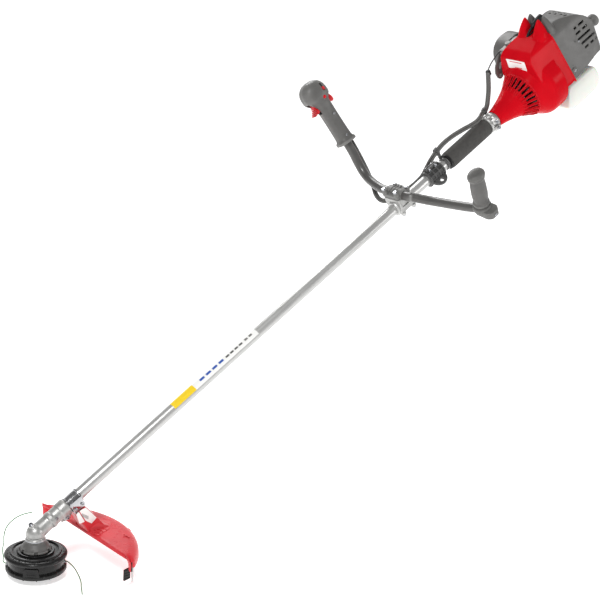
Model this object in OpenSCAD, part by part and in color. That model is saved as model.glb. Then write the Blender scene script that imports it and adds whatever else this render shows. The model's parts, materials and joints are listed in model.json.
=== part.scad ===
// Petrol string trimmer (brushcutter) with bicycle handlebar, line head and guard.
// +Z is up in the working pose, +X runs from the cutting head towards the engine,
// +Y is the user's right. The origin is the centre of the harness eye.

/* [Shaft] */
// Slope of the shaft above the ground, in degrees
shaft_angle = 30; // [29:0.5:31]
// Outer diameter of the shaft tube
tube_d = 26; // [25.6:0.1:26]
// Wall of the shaft tube
tube_wall = 1.5; // [1.2:0.1:1.8]
// Distance along the shaft from the bevel gears to the engine collar
engine_at = 1480; // [1470:1:1480]
// Diameter of the drive shaft inside the tube
drive_d = 8; // [7:0.5:8]

/* [Cutting head] */
// Height of the bevel gear centre above the underside of the tap knob
gear_height = 95; // [94:1:96]
// Diameter of the upper rim of the cutting head
head_d = 134; // [130:1:136]
// Diameter of the nylon cutting line
line_d = 2.4; // [2:0.1:3]

/* [Guard] */
// Outer radius of the guard about the head's axis
guard_r = 218; // [214:1:222]
// Height of the guard's plate above the underside of the tap knob
guard_z = 71; // [70:1:73]
// Thickness of the guard's plate
guard_wall = 3; // [2.5:0.5:3.5]

/* [Handlebar] */
// Distance along the shaft to the middle of the handlebar clamp
bar_at = 1166; // [1160:1:1168]
// Diameter of the handlebar tube
bar_d = 22; // [20:1:22]
// Height of the handlebar over the shaft axis
bar_rise = 30; // [29:0.5:31]

/* [Harness] */
// Distance along the shaft to the harness eye
eye_at = 1282; // [1279:1:1285]
// Distance from the shaft axis out to the harness eye
eye_reach = 27; // [27:0.5:28]
// Angle of the eye's lug below the horizontal, in degrees
eye_tilt = 25; // [15:1:35]
// Radius of the harness eye
eye_r = 6; // [5:0.5:6.5]
// Thickness of the harness eye
eye_t = 6; // [5:0.5:8]

/* [Engine] */
// Cylinder bore
bore_d = 35; // [33:0.5:35]
// Piston stroke
stroke = 28; // [26:1:28]
// Teeth on the drive pinion
pinion_teeth = 14; // [12:1:14]
// Teeth on the driven bevel gear
gear_teeth = 19; // [17:1:20]

/* [Hidden] */
$fn = 48;
tube_r = tube_d / 2;
tube_in = tube_r - tube_wall;
drive_r = drive_d / 2;
bar_r = bar_d / 2;
fit = 0.05;              // running clearance on a radius
gap = 0.3;               // space between curved faces that only sit together
shell = 2.5;             // wall of the plastic housings

// Places along the shaft, measured from the bevel gear centre
socket_end = 88;
grease_x = 2;
grease_top = 24;
sleeve = [88.5, 124];
harness_clamp_at = [1258, 1307];
foam_at = [1336, engine_at - gap];

// Places along the shaft, measured from the start of the engine collar
collar_len = 30;
cone_end = 132;
parting = 248;           // joint between the front cover and the cylinder shroud
rear = 385;              // back of the cylinder shroud
cylinder_x = 259;
crank_throw = stroke / 2;
rod_len = 50;
clutch_x = 118;
fan_x = 160;
starter_x = 330;
pull_y = -23;            // the starter rope leaves the housing here
pull_z = 41;

// The eye's lug stands out to the user's left and slopes down
eye_y = -eye_reach * cos(eye_tilt);
eye_z = -eye_reach * sin(eye_tilt);
along = [cos(shaft_angle), 0, sin(shaft_angle)];
across = [-sin(shaft_angle), 0, cos(shaft_angle)];
gear_centre = -along * eye_at - [0, eye_y, 0] - across * eye_z;

// Colours
alu = [0.80, 0.80, 0.78];
steel = [0.62, 0.63, 0.65];
red = [0.78, 0.06, 0.10];
grey = [0.44, 0.44, 0.43];
dark = [0.24, 0.24, 0.24];
black = [0.08, 0.08, 0.08];

// Handlebar centre line from the left end to the right end, in shaft axes
bar_route = [
    [1212, -236, 14], [1204, -200, 12], [1190, -110, 14], [1180, -75, 20],
    [1171, -50, 27], [1166, -35, 30], [1166, 45, 30], [1168, 62, 30],
    [1172, 82, 31], [1177, 102, 33], [1183, 122, 38], [1188, 137, 49],
    [1193, 149, 66], [1198, 160, 89], [1201, 172, 117], [1206.06, 207.16, 199.69]
];

// Throttle conduit from the throttle handle to the carburettor, in shaft axes
conduit_route = [
    [1217, 180.4, 118.4], [1216.3, 175.1, 106], [1214, 167, 87], [1210, 156, 60],
    [1200, 137, 36], [1184, 112, 16], [1165, 86, 4], [1160, 66, -4],
    [1172, 50, -9], [1195, 40, -10], [1240, 34, -10], [1270, 31, -6],
    [1288, 27, 6], [1304, 20, 21], [1324.5, 14.5, 32.5], [1350, 12, 39.5],
    [1381, 9, 40], [1411, 6, 36.5], [1440, 4, 31], [1460, 3, 28.6], [1476, 6, 28],
    [1490, 14, 26], [1500, 20, 22.5], [1509, 22, 21.2], [1524, 26, 27],
    [1538, 30, 40], [1553, 34, 58], [1569, 35, 95]
];
conduit_r = 5;

// Cutting line tails, from the head's eyelets to their tips, about the head's axis
tail_a = [[-48, 28.8, 28], [-54, 33, 28], [-54, 44, 28], [-43, 62, 28], [-30, 89, 30], [-14, 111, 33], [-2, 131, 38],
    [11, 148, 43], [28, 162, 48], [50, 171, 53], [71, 171, 57], [89, 163, 60]];
tail_b = [[48, -28.8, 28], [54, -34, 28], [55, -46, 28], [53, -62, 28], [46, -88, 28], [32, -126, 27], [15, -156, 27],
    [2, -180, 26]];

// Frames: the shaft's own axes, the engine's, and the cutting head's
module on_shaft(at = 0) {
    translate(gear_centre) rotate([0, -shaft_angle, 0]) translate([at, 0, 0]) children();
}

module on_engine() {
    on_shaft(engine_at) children();
}

module on_head() {
    translate(gear_centre - [0, 0, gear_height]) children();
}

// Round bar along X
module rod(x0, x1, r) {
    translate([x0, 0, 0]) rotate([0, 90, 0]) cylinder(h = x1 - x0, r = r);
}

module pipe(x0, x1, r_out, r_in) {
    difference() {
        rod(x0, x1, r_out);
        rod(x0 - 1, x1 + 1, r_in);
    }
}

// Turned solid about X from points [radius, x]
module turned_x(points) {
    rotate([0, 90, 0]) rotate_extrude() polygon(points);
}

// Plate of the given outline in the Y-Z plane, from x0 to x1
module plate_x(x0, x1) {
    translate([x0, 0, 0]) rotate([90, 0, 90]) linear_extrude(x1 - x0) children();
}

// Side profile in the X-Z plane, from y0 to y1
module plate_y(y0, y1) {
    translate([0, y1, 0]) rotate([90, 0, 0]) linear_extrude(y1 - y0) children();
}

// Smooth tube along hand-placed points
function unit(v) = v / norm(v);
function spline(a, b, c, d, t) = 0.5 * (2 * b + (c - a) * t
    + (2 * a - 5 * b + 4 * c - d) * t * t + (3 * b - a - 3 * c + d) * t * t * t);
function smooth(p, steps) = let (n = len(p) - 1) [
    for (i = [0:n - 1], k = [0:steps - 1])
        spline(p[max(i - 1, 0)], p[i], p[i + 1], p[min(i + 2, n)], k / steps),
    p[n]
];
function heading(p, i) = unit(p[min(i + 1, len(p) - 1)] - p[max(i - 1, 0)]);
function carry(p, i, u) = i >= len(p) ? []
    : let (t = heading(p, i), v = unit(u - t * (u * t))) concat([v], carry(p, i + 1, v));

module swept(route, r, steps, sides, start_side) {
    p = smooth(route, steps);
    side = carry(p, 0, start_side);
    points = [
        for (i = [0:len(p) - 1]) let (t = heading(p, i), v = cross(t, side[i]))
            for (k = [0:sides - 1]) let (a = 360 * k / sides)
                p[i] + r * (cos(a) * side[i] + sin(a) * v)
    ];
    last = len(points) - sides;
    faces = concat(
        [[for (k = [0:sides - 1]) k]],
        [[for (k = [sides - 1:-1:0]) last + k]],
        [for (i = [0:len(p) - 2], k = [0:sides - 1]) let (n = (k + 1) % sides)
            [i * sides + k, (i + 1) * sides + k, (i + 1) * sides + n, i * sides + n]]
    );
    polyhedron(points, faces, convexity = 6);
}

// ---- Gearbox and shaft ----
module gearbox_case() color(alu) {
    difference() {
        union() {
            translate(gear_centre) {
                rotate_extrude() polygon([[0, -15], [21, -15], [21, -9.5], [18.5, -8.5],
                    [18.5, -6], [20, -5], [20, 0], [0, 0]]);
                sphere(r = 20);
            }
            on_shaft() {
                turned_x([[0, 0], [17, 0], [17, 38], [18.2, 39], [18.2, 46], [17, 47],
                    [17, 68], [18, 69], [18, socket_end], [0, socket_end]]);
                // Boss of the grease screw on top of the elbow
                translate([grease_x, 0, 0]) cylinder(h = grease_top, r = 5.5);
                // Pinch lug under the socket
                translate([66, -7, -24]) cube([16, 14, 10]);
            }
        }
        translate(gear_centre) {
            sphere(r = 15.4);
            translate([0, 0, -16]) cylinder(h = 16, r = 11);
            translate([0, 0, -25]) cylinder(h = 10, r = 25);
        }
        on_shaft() {
            rod(8, 32, 11);
            rod(31, 42, 8);
            rod(41.5, socket_end + 1, tube_r + fit);
            translate([grease_x, 0, 0]) cylinder(h = 30, r = 2.5);
        }
    }
}

module ball_bearings() color(steel) {
    translate(gear_centre - [0, 0, 14]) ring(10.95, 5 + fit, 7);
    on_shaft() {
        pipe(16, 23, 10.95, drive_r + fit);
        pipe(24, 31, 10.95, drive_r + fit);
    }
    on_engine() {
        pipe(76, 84, 13, 6 + fit);
        pipe(194, 204, 16, 7 + fit);
        pipe(314, 324, 16, 7 + fit);
    }
}

module ring(r_out, r_in, h) {
    difference() {
        cylinder(h = h, r = r_out);
        translate([0, 0, -1]) cylinder(h = h + 2, r = r_in);
    }
}

module shaft_tube() color(alu) {
    on_shaft() pipe(42, engine_at + 20, tube_r, tube_in);
}

module shaft_bushes() color(black) {
    on_shaft() for (x = [220:240:1420]) pipe(x, x + 24, tube_in - fit, drive_r + fit);
}

module drive_shaft() color(steel) {
    on_shaft() rod(11, engine_at + 92, drive_r);
}

// Bevel gear blank with radial slots; the big end is at z = 0 and it narrows upwards
module bevel(r_big, r_small, depth, teeth) {
    difference() {
        cylinder(h = depth, r1 = r_big, r2 = r_small);
        for (i = [0:teeth - 1])
            rotate([0, 0, 360 * i / teeth]) translate([r_small - 1, -0.6, 0.8])
                cube([r_big, 1.2, depth]);
    }
}

module bevel_pinion() color(steel) {
    on_shaft() difference() {
        union() {
            translate([10.6, 0, 0]) rotate([0, -90, 0]) bevel(9.8, 7.2, 2.6, pinion_teeth);
            rod(10.6, 15.5, 6.5);
        }
        rod(11, 20, drive_r + fit);
    }
}

module bevel_gear() color(steel) {
    translate(gear_centre) difference() {
        union() {
            translate([0, 0, -4.6]) bevel(13.4, 9.6, 1.2, gear_teeth);
            translate([0, 0, -6.6]) cylinder(h = 2, r = 9);
        }
        translate([0, 0, -8]) cylinder(h = 9, r = 5 + fit);
    }
}

// ---- Cutting head ----
module output_spindle() color(steel) {
    translate(gear_centre) {
        translate([0, 0, -gear_height + 34]) cylinder(h = gear_height - 37.6, r = 5);
        translate([0, 0, -21]) cylinder(h = 6, r = 9);
    }
}

module head_cone() color(grey) {
    on_head() difference() {
        rotate_extrude() polygon([[0, 58], [32, 58], [32, 61], [30, 66], [24, 72],
            [21.5, 76], [21, 79.5], [0, 79.5]]);
        translate([0, 0, 57]) cylinder(h = 30, r = 5 + fit);
        translate([0, 0, 74]) cylinder(h = 8, r = 9 + gap);
    }
}

module head_housing() color(black) {
    rim = head_d / 2;
    on_head() difference() {
        rotate_extrude() polygon([[0, 34], [12, 34], [12, 40], [0, 40]]);
        translate([0, 0, 33]) cylinder(h = 8, r = 5 + fit);
    }
    on_head() difference() {
        rotate_extrude() polygon([[12, 34], [12, 52], [56, 52], [57, 24], [60, 24],
            [60.5, 43], [rim - 2, 44], [rim, 47], [rim, 51], [rim - 4, 54], [55, 55],
            [54, 58], [38, 58], [35, 55], [12, 55], [9, 55], [9, 34]]);
        for (a = [-31, 149])
            rotate([0, 0, a]) translate([50, 0, 28]) rotate([0, 90, 0]) cylinder(h = 20, r = 3);
    }
}

module head_cover() color(black) {
    on_head() {
        difference() {
            rotate_extrude() polygon([[30, 9], [54, 11], [62, 14], [65, 17], [65, 21],
                [62, 23.7], [52, 23.7], [50, 20], [30, 17]]);
            for (i = [0:11])
                rotate([0, 0, 30 * i + 15]) translate([66.5, 0, 8]) cylinder(h = 20, r = 3);
        }
        // Latch tabs that hook the cover into the housing's windows
        for (a = [50, 230])
            rotate([0, 0, a]) translate([61.2, -15, 18]) cube([2.5, 30, 20]);
    }
}

module spool() color(dark) {
    on_head() difference() {
        union() {
            translate([0, 0, 22]) cylinder(h = 3, r = 49);
            translate([0, 0, 40.5]) cylinder(h = 3, r = 49);
            translate([0, 0, 22]) cylinder(h = 21.5, r = 24);
        }
        translate([0, 0, 21]) cylinder(h = 30, r = 21);
    }
}

module line_winding() color([0.3, 0.55, 0.32]) {
    on_head() translate([0, 0, 25.2]) ring(43, 24.2, 15);
}

module tap_knob() color(black) {
    on_head() difference() {
        rotate_extrude() polygon([[0, 0], [15, 0], [23, 2.5], [29.5, 8], [29.5, 14],
            [20.8, 16], [20.8, 30], [0, 30]]);
        translate([0, 0, 12]) cylinder(h = 20, r = 18);
        for (i = [0:7])
            rotate([0, 0, 45 * i]) translate([30, 0, -1]) cylinder(h = 30, r = 2.5);
    }
}

module spool_spring() color(steel) {
    on_head() translate([0, 0, 12.3]) ring(16, 13.5, 39.4);
}

module cutting_line_a() color([0.3, 0.55, 0.32]) {
    on_head() swept(tail_a, line_d / 2, 4, 8, [0, 0, 1]);
}

module cutting_line_b() color([0.3, 0.55, 0.32]) {
    on_head() swept(tail_b, line_d / 2, 4, 8, [0, 0, 1]);
}

// ---- Guard ----
chord_x = 120;
guard_end = 172;         // the right-hand end is cut off square here
neck_half = 20;

module guard_outline(z, r) {
    translate([0, 0, z]) linear_extrude(guard_z + 1) intersection() {
        circle(r = r, $fn = 160);
        translate([chord_x, -r]) square([2 * r, r + guard_end]);
    }
}

module guard() color(red) {
    skirt = 28;
    plate = guard_z - guard_wall;
    on_head() {
        difference() {
            intersection() {
                guard_outline(0, guard_r);
                rotate_extrude($fn = 160) polygon([[60, guard_z], [192, guard_z], [210, guard_z - 4],
                    [guard_r, guard_z - 14], [guard_r, guard_z - skirt], [60, guard_z - skirt]]);
            }
            rotate_extrude($fn = 160) polygon([[50, plate], [190, plate], [207, plate - 4],
                [guard_r - guard_wall, plate - 12], [guard_r - guard_wall, 0], [50, 0]]);
        }
        // Neck that rises to the bracket under the shaft
        plate_y(-neck_half, neck_half) polygon([[108, plate], [90, 121], [113.5, 134.5],
            [154, 88], [160, plate]]);
        // Stiffening ribs beside the neck
        for (s = [-1, 1], k = [0:2])
            plate_y(s * (27 + 8 * k) - 1, s * (27 + 8 * k) + 1) polygon([[121, guard_z - 2],
                [121, guard_z + 8 - 2 * k], [170 - 6 * k, guard_z + 1], [170 - 6 * k, guard_z - 2]]);
    }
}

module guard_bracket() color(dark) {
    on_shaft() {
        pipe(sleeve[0], sleeve[1], 16.5, tube_r + fit);
        // Saddle on the guard's neck
        translate([sleeve[0] + 2, -16, -20.5]) cube([sleeve[1] - sleeve[0] - 4, 32, 4.5]);
    }
}

cutter_angle = -51;

module line_cutter() color(steel) {
    on_head() rotate([0, 0, cutter_angle]) translate([211.5, 2.2, 14]) cube([2, 14, 38]);
}

module cutter_holder() color(black) {
    on_head() {
        rotate([0, 0, cutter_angle]) translate([207, -4, 34]) cube([7.6, 6, 22]);
        translate([112, -167, 15]) cube([22, 3, 34]);
    }
}

// ---- Handlebar, grips and controls ----
module handlebar() color(grey) {
    on_shaft() swept(bar_route, bar_r, 1, 20, [1, 0, 0]);
}

module clamp_base() color(alu) {
    on_shaft(bar_at) difference() {
        union() {
            rod(-26, 26, 19);
            translate([-22, -26, 0]) cube([44, 52, bar_rise - 1]);
            translate([-24, -24, -9]) cube([48, 48, 12]);
        }
        rod(-30, 30, tube_r + fit);
        translate([0, 0, bar_rise]) rotate([90, 0, 0])
            cylinder(h = 80, r = bar_r + fit, center = true);
    }
}

module clamp_saddle() color(dark) {
    on_shaft(bar_at) difference() {
        union() {
            translate([-22, -26, bar_rise + 0.3]) cube([44, 52, 10]);
            translate([0, 0, bar_rise]) rotate([90, 0, 0]) cylinder(h = 52, r = 16, center = true);
            for (s = [-1, 1]) translate([-16, s * 19, bar_rise + 8]) cylinder(h = 11, r = 6);
        }
        translate([-40, -40, bar_rise - 20]) cube([80, 80, 20.3]);
        translate([0, 0, bar_rise]) rotate([90, 0, 0])
            cylinder(h = 80, r = bar_r + fit, center = true);
    }
}

module on_left_grip() {
    on_shaft() translate([1212, -236, 14]) rotate([14.6, -2, 0]) children();
}

module left_grip() color(grey) {
    on_left_grip() difference() {
        union() {
            rotate_extrude() polygon([[0, -15], [19, -15], [22, -11], [22, 9], [17, 13],
                [19.5, 16], [19.5, 22], [17, 26], [19, 50], [18.5, 75], [17, 96],
                [22, 101], [23, 107], [19, 113], [0, 116]]);
            // Clamp boss at the outer end of the base
            translate([0, 0, -14]) linear_extrude(21) polygon([[-17, 0], [-16, -26],
                [-8, -37], [12, -38], [21, -27], [19, 0]]);
        }
        // The bar's end enters the grip's base
        on_left_bar_end() translate([0, 0, -0.2]) cylinder(h = 60, r = bar_r + gap);
    }
}

// The bar's left end, seen from the grip's own axes
module on_left_bar_end() {
    d = bar_route[1] - bar_route[0];
    rotate([0, 2, 0]) rotate([-14.6, 0, 0])
        rotate([0, acos(d.z / norm(d)), atan2(d.y, d.x)]) children();
}

throttle_foot = [1201, 172, 117];
trigger_pivot = [-10, 0, 134];
lockout_pivot = [9, 0, 133];
pin_r = 1.5;

module on_throttle() {
    on_shaft() translate(throttle_foot) rotate([-23, 3.5, 0]) children();
}

module throttle_shell() {
    difference() {
        union() {
            rotate_extrude() polygon([[0, 0], [24, 0], [24, 6], [19.5, 13], [18.5, 60],
                [19, 106], [23, 120], [29, 134], [30, 150], [26, 164], [16, 172], [0, 174]]);
            translate([-38, -20, 130]) cube([24, 40, 28]);
        }
        translate([0, 0, -1]) cylinder(h = 97, r = bar_r + 0.1);
        translate([0, 0, 95.5]) cylinder(h = 66, r = 15.5);
        translate([-34, -16, 134]) cube([24, 32, 20]);
        // Slots for the trigger and the lockout lever
        translate([-44, -7.5, 88]) cube([32.7, 15, 50]);
        translate([11.3, -6.5, 97]) cube([24, 13, 41]);
        // Conduit gland, latch button and stop switch openings
        translate([15.9, 6.8, -1]) cylinder(h = 7, r = 5.4);
        translate([2, -40, 125]) rotate([-90, 0, 0]) cylinder(h = 32, r = 4.6);
        translate([8, -40, 138]) cube([5, 30, 20]);
    }
    // Pins for the trigger and the lockout lever
    for (q = [trigger_pivot, lockout_pivot])
        translate(q) rotate([90, 0, 0]) cylinder(h = 36, r = pin_r, center = true);
}

module throttle_housing_left() color(grey) {
    on_throttle() intersection() {
        throttle_shell();
        translate([-60, -60.05, -5]) cube([120, 60, 200]);
    }
}

module throttle_housing_right() color(grey) {
    on_throttle() intersection() {
        throttle_shell();
        translate([-60, 0.05, -5]) cube([120, 60, 200]);
    }
}

module throttle_trigger() color(red) {
    on_throttle() difference() {
        plate_y(-6.8, 6.8) polygon([[-14, 137], [-6, 137], [-5, 130], [-10, 122], [-16, 100],
            [-24, 97], [-38, 95], [-42, 97], [-33, 108], [-29, 118], [-27, 127]]);
        translate(trigger_pivot) rotate([90, 0, 0])
            cylinder(h = 30, r = pin_r + fit, center = true);
        for (k = [0:4]) translate([-44 + 3 * k, -8, 92]) cube([1.2, 16, 4.5]);
    }
}

module lockout_lever() color(red) {
    on_throttle() difference() {
        plate_y(-5.8, 5.8) polygon([[6, 136.5], [13, 136.5], [26, 126], [32, 112], [31, 103],
            [25, 102], [19, 108], [14, 118], [6, 129]]);
        translate(lockout_pivot) rotate([90, 0, 0])
            cylinder(h = 30, r = pin_r + fit, center = true);
    }
}

module latch_button() color(red) {
    on_throttle() translate([2, -28.5, 125]) rotate([-90, 0, 0]) cylinder(h = 12, r = 4.2);
}

module stop_switch() color(dark) {
    on_throttle() translate([8.4, -31, 140]) cube([4.2, 12, 8]);
}

module throttle_conduit() color(dark) {
    on_shaft() swept(conduit_route, conduit_r, 3, 10, [1, 0, 0]);
}

module conduit_clips() color(black) {
    on_shaft() {
        // Strap with an eye above the harness clamp, and the tie at the foam grip's end
        difference() {
            union() {
                rod(1321, 1328, 16);
                translate([1321, 5, 10]) cube([7, 19, 33.5]);
            }
            rod(1310, 1340, tube_r + fit);
            translate([0, 14.5, 32.5]) rod(1310, 1340, conduit_r + 2.8);
        }
        translate([0, 21.5, 21.8]) pipe(1503, 1508, conduit_r + 3.2, conduit_r + 1.7);
    }
}

// ---- Harness clamp and front grip ----
module on_eye() {
    translate([eye_at, eye_y, eye_z]) rotate([eye_tilt, 0, 0]) children();
}

harness_screws = [harness_clamp_at[0] + 14, harness_clamp_at[1] - 14];

module harness_clamp() color(dark) {
    start = harness_clamp_at[0];
    end = harness_clamp_at[1];
    on_shaft() difference() {
        union() {
            rod(start, end, 18.5);
            for (x = [start, start + 15, end - 19, end - 4]) rod(x, x + 4, 20.5);
            // Round lug; its inner part runs into the band
            on_eye() translate([0, 10, 0]) cylinder(h = eye_t, r = 21.5, center = true);
            translate([start + 6, -5, 16]) cube([end - start - 12, 10, 10]);
        }
        rod(start - 5, end + 5, tube_r + fit);
        on_eye() cylinder(h = 4 * eye_t, r = eye_r, center = true);
        // Spot faces for the screw heads
        for (x = harness_screws) translate([x, -5, 21]) rotate([90, 0, 0]) cylinder(h = 9, r = 4.4);
    }
}

module foam_grip() color([0.38, 0.38, 0.37]) {
    on_shaft() difference() {
        turned_x([[0, foam_at[0]], [20.3, foam_at[0]], [21.8, foam_at[0] + 3],
            [21.8, foam_at[1] - 2], [20.3, foam_at[1]], [0, foam_at[1]]]);
        rod(foam_at[0] - 1, foam_at[1] + 1, tube_r + fit);
    }
}

// Socket head screw along +Z with its head's underside at the origin
module screw(r, length) {
    translate([0, 0, -length]) cylinder(h = length + 0.1, r = r);
    difference() {
        cylinder(h = r * 1.6, r = r * 1.8);
        translate([0, 0, r * 0.6]) cylinder(h = r * 2, r = r, $fn = 6);
    }
}

module shaft_screws() color(steel) {
    // Grease screw and gearbox pinch screw
    on_shaft() {
        translate([grease_x, 0, grease_top + 0.2]) screw(2.3, 6);
        translate([74, -7.2, -20.5]) rotate([90, 0, 0]) screw(2, 0.05);
    }
    // Guard bracket screws
    on_shaft() for (x = [97, 115], s = [-1, 1])
        translate([x, s * 18.6, -18]) rotate([-90 * s, 0, 0]) screw(2, 1.8);
    // Handlebar clamp screws
    on_shaft(bar_at) for (x = [-17.5, 17.5], y = [-20, 20])
        translate([x, y, x < 0 ? bar_rise + 19.2 : bar_rise + 10.6]) screw(2.6, 0.05);
    // Harness clamp screws
    on_shaft() for (x = harness_screws)
        translate([x, -5.2, 21]) rotate([90, 0, 0]) screw(2.2, 0.05);
}

// ---- Engine ----
module engine_collar() color(alu) {
    on_engine() difference() {
        union() {
            turned_x([[0, 0], [20, 0], [22, 3], [22, 26], [19.5, collar_len], [19.5, 60],
                [28, 92], [37, 103], [37, 108], [0, 108]]);
            // Pinch bosses on the near side
            for (z = [-1, 1]) translate([6, -24, z * 9 - 4.5]) cube([18, 14, 9]);
        }
        rod(-1, 22, tube_r + fit);
        rod(21, 77, 10);
        rod(75, 90, 13.05);
        turned_x([[0, 88], [22, 90], [34.5, 105], [34.5, 112], [0, 112]]);
    }
}

module clutch_drum() color(steel) {
    on_engine() difference() {
        union() {
            rod(68, 112, 6);
            rod(110, 112, 31);
            rod(110, 134, 31);
        }
        rod(112.5, 140, 28.5);
        rod(60, 92, drive_r);
    }
}

// Half-moon shoe; its pivot sits on a pin of the flywheel
module clutch_shoe() {
    difference() {
        intersection() {
            pipe(clutch_x, clutch_x + 12, 27.4, 12);
            translate([0, -40, 2]) cube([200, 80, 60]);
        }
        translate([0, 19, 9]) rod(100, 150, 3 + fit);
    }
}

module clutch_shoe_a() color(steel) {
    on_engine() clutch_shoe();
}

module clutch_shoe_b() color(steel) {
    on_engine() rotate([180, 0, 0]) clutch_shoe();
}

module flywheel_fan() color(steel) {
    on_engine() difference() {
        union() {
            rod(fan_x, fan_x + 6, 64);
            rod(fan_x, fan_x + 24, 22);
            // Clutch pivot pins on the flywheel's face
            for (a = [0, 180]) rotate([a, 0, 0]) translate([0, 19, 9]) rod(clutch_x - 2, fan_x + 2, 3);
            // Fan blades
            for (i = [0:13]) rotate([360 / 14 * i, 0, 0]) translate([fan_x - 10, -1.2, 32])
                cube([12, 2.4, 31]);
        }
        rod(110, fan_x + 30, 7 + fit);
    }
}

module crankshaft() color(steel) {
    on_engine() {
        rod(134.5, 245, 7);
        rod(274, starter_x + 22, 7);
        for (x = [243, 267]) translate([x, 0, 0]) rotate([0, 90, 0]) rotate([0, 0, 180])
            linear_extrude(8) {
                difference() {
                    circle(r = 23);
                    translate([-26, 10]) square([20, 30]);
                    translate([-26, -40]) square([20, 30]);
                }
            }
    }
}

module crankcase() color(alu) {
    on_engine() difference() {
        union() {
            rod(190, 328, 34);
            rod(186, 194, 40);
            translate([cylinder_x - 30, -30, 0]) cube([60, 60, 36]);
        }
        rod(212, 308, 26);
        rod(193.5, 215, 16.05);
        rod(305, 324.2, 16.05);
        rod(180, 340, 8);
        translate([cylinder_x, 0, 0]) cylinder(h = 60, r = bore_d / 2);
    }
}

module engine_cylinder() color(alu) {
    on_engine() translate([cylinder_x, 0, 0]) difference() {
        union() {
            translate([0, 0, 36.3]) cylinder(h = 58, r = bore_d / 2 + 4);
            for (z = [42:6:96]) translate([-30, -28, z]) cube([60, 56, 2.2]);
            translate([-9, -8, 92]) cube([26, 16, 14]);
            // Exhaust and inlet ports
            translate([-12, -33, 52]) cube([24, 12, 16]);
            translate([-14, 20, 50]) cube([24, 16, 18]);
        }
        translate([0, 0, 30]) cylinder(h = 60, r = bore_d / 2);
        translate([0, 0, 80]) cylinder(h = 40, r = 5.05);
        translate([0, -20, 60]) rotate([90, 0, 0]) cylinder(h = 20, r = 5);
        translate([-2, 15, 59]) rotate([-90, 0, 0]) cylinder(h = 30, r = 5);
    }
}

wrist_z = crank_throw + rod_len;
crank_pin_r = 5;

module piston() color(steel) {
    on_engine() translate([cylinder_x, 0, 0]) difference() {
        translate([0, 0, wrist_z - 14]) cylinder(h = 25, r = bore_d / 2 - fit);
        translate([0, 0, wrist_z - 15]) cylinder(h = 23, r = bore_d / 2 - 3);
        for (z = [3, 7]) translate([0, 0, wrist_z + z]) difference() {
            cylinder(h = 1.2, r = bore_d);
            translate([0, 0, -1]) cylinder(h = 4, r = bore_d / 2 - 0.8);
        }
    }
}

// Held still at top dead centre, with the crank pin, while the webs turn
module connecting_rod() color(steel) {
    on_engine() {
        difference() {
            union() {
                translate([0, 0, crank_throw]) rod(254, 264, 8.5);
                translate([0, 0, wrist_z]) rod(254, 264, 7);
                translate([256, -3.5, crank_throw + 4]) cube([6, 7, rod_len - 8]);
                // Wrist pin, held in the rod's small end
                translate([0, 0, wrist_z]) rod(246.5, 271.5, 4);
            }
            translate([0, 0, crank_throw]) rod(250, 270, crank_pin_r + fit);
        }
        translate([0, 0, crank_throw]) rod(251 + gap, 267 - gap, crank_pin_r);
    }
}

module spark_plug() color(steel) {
    on_engine() translate([cylinder_x, 0, 0]) {
        translate([0, 0, 93]) cylinder(h = 13.5, r = 5);
        translate([0, 0, 106.2]) cylinder(h = 8, r = 9.5, $fn = 6);
        translate([0, 0, 114]) cylinder(h = 12, r = 5);
    }
}

module plug_boot() color(black) {
    on_engine() {
        translate([cylinder_x, 0, 0]) difference() {
            union() {
                translate([0, 0, 117]) cylinder(h = 14, r = 8);
                translate([0, 0, 131]) sphere(r = 8);
                translate([0, 0, 131]) rotate([0, -65, 0]) cylinder(h = 30, r = 6);
            }
            translate([0, 0, 110]) cylinder(h = 16.1, r = 5.1);
        }
        swept([[236, 2, 142], [226, 3, 144], [218, 5, 138], [214, 9, 126], [214, 14, 112],
            [214, 18, 100]], 3.2, 3, 8, [0, 1, 0]);
    }
}

module muffler() color(steel) {
    on_engine() difference() {
        union() {
            translate([236, -54, 0]) cube([78, 18, 66]);
            translate([252, -36.2, 54]) cube([18, 2.9, 14]);
            translate([300, -48, 24]) rod(0, 24, 6);
        }
        translate([238.5, -51.5, 2.5]) cube([73, 13, 61]);
        translate([300, -48, 24]) rod(5, 30, 4);
    }
}

module carburettor() color(alu) {
    on_engine() difference() {
        union() {
            translate([168, 49, 72]) cube([66, 20, 26]);
            translate([226, 36.4, 50]) cube([44, 36, 32]);
            translate([196, 59, 97]) cylinder(h = 8, r = 8);
        }
        translate([255, 30, 59]) rotate([-90, 0, 0]) cylinder(h = 60, r = 8);
        translate([178, 45, 84]) rotate([-90, 0, 0]) cylinder(h = 30, r = 3 + fit);
    }
}

// Throttle arm; its spindle turns in the carburettor
module carb_lever() color(grey) {
    on_engine() {
        difference() {
            plate_y(71, 75) {
                translate([178, 82]) circle(r = 11);
                translate([149, 33]) circle(r = 8);
                polygon([[168, 87], [188, 77], [155, 28], [142, 31], [138, 47], [143, 60]]);
            }
            translate([150, 60, 35]) rotate([-90, 0, 0]) cylinder(h = 20, r = 3);
        }
        translate([178, 50, 84]) rotate([-90, 0, 0]) cylinder(h = 22, r = 3);
    }
}

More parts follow.
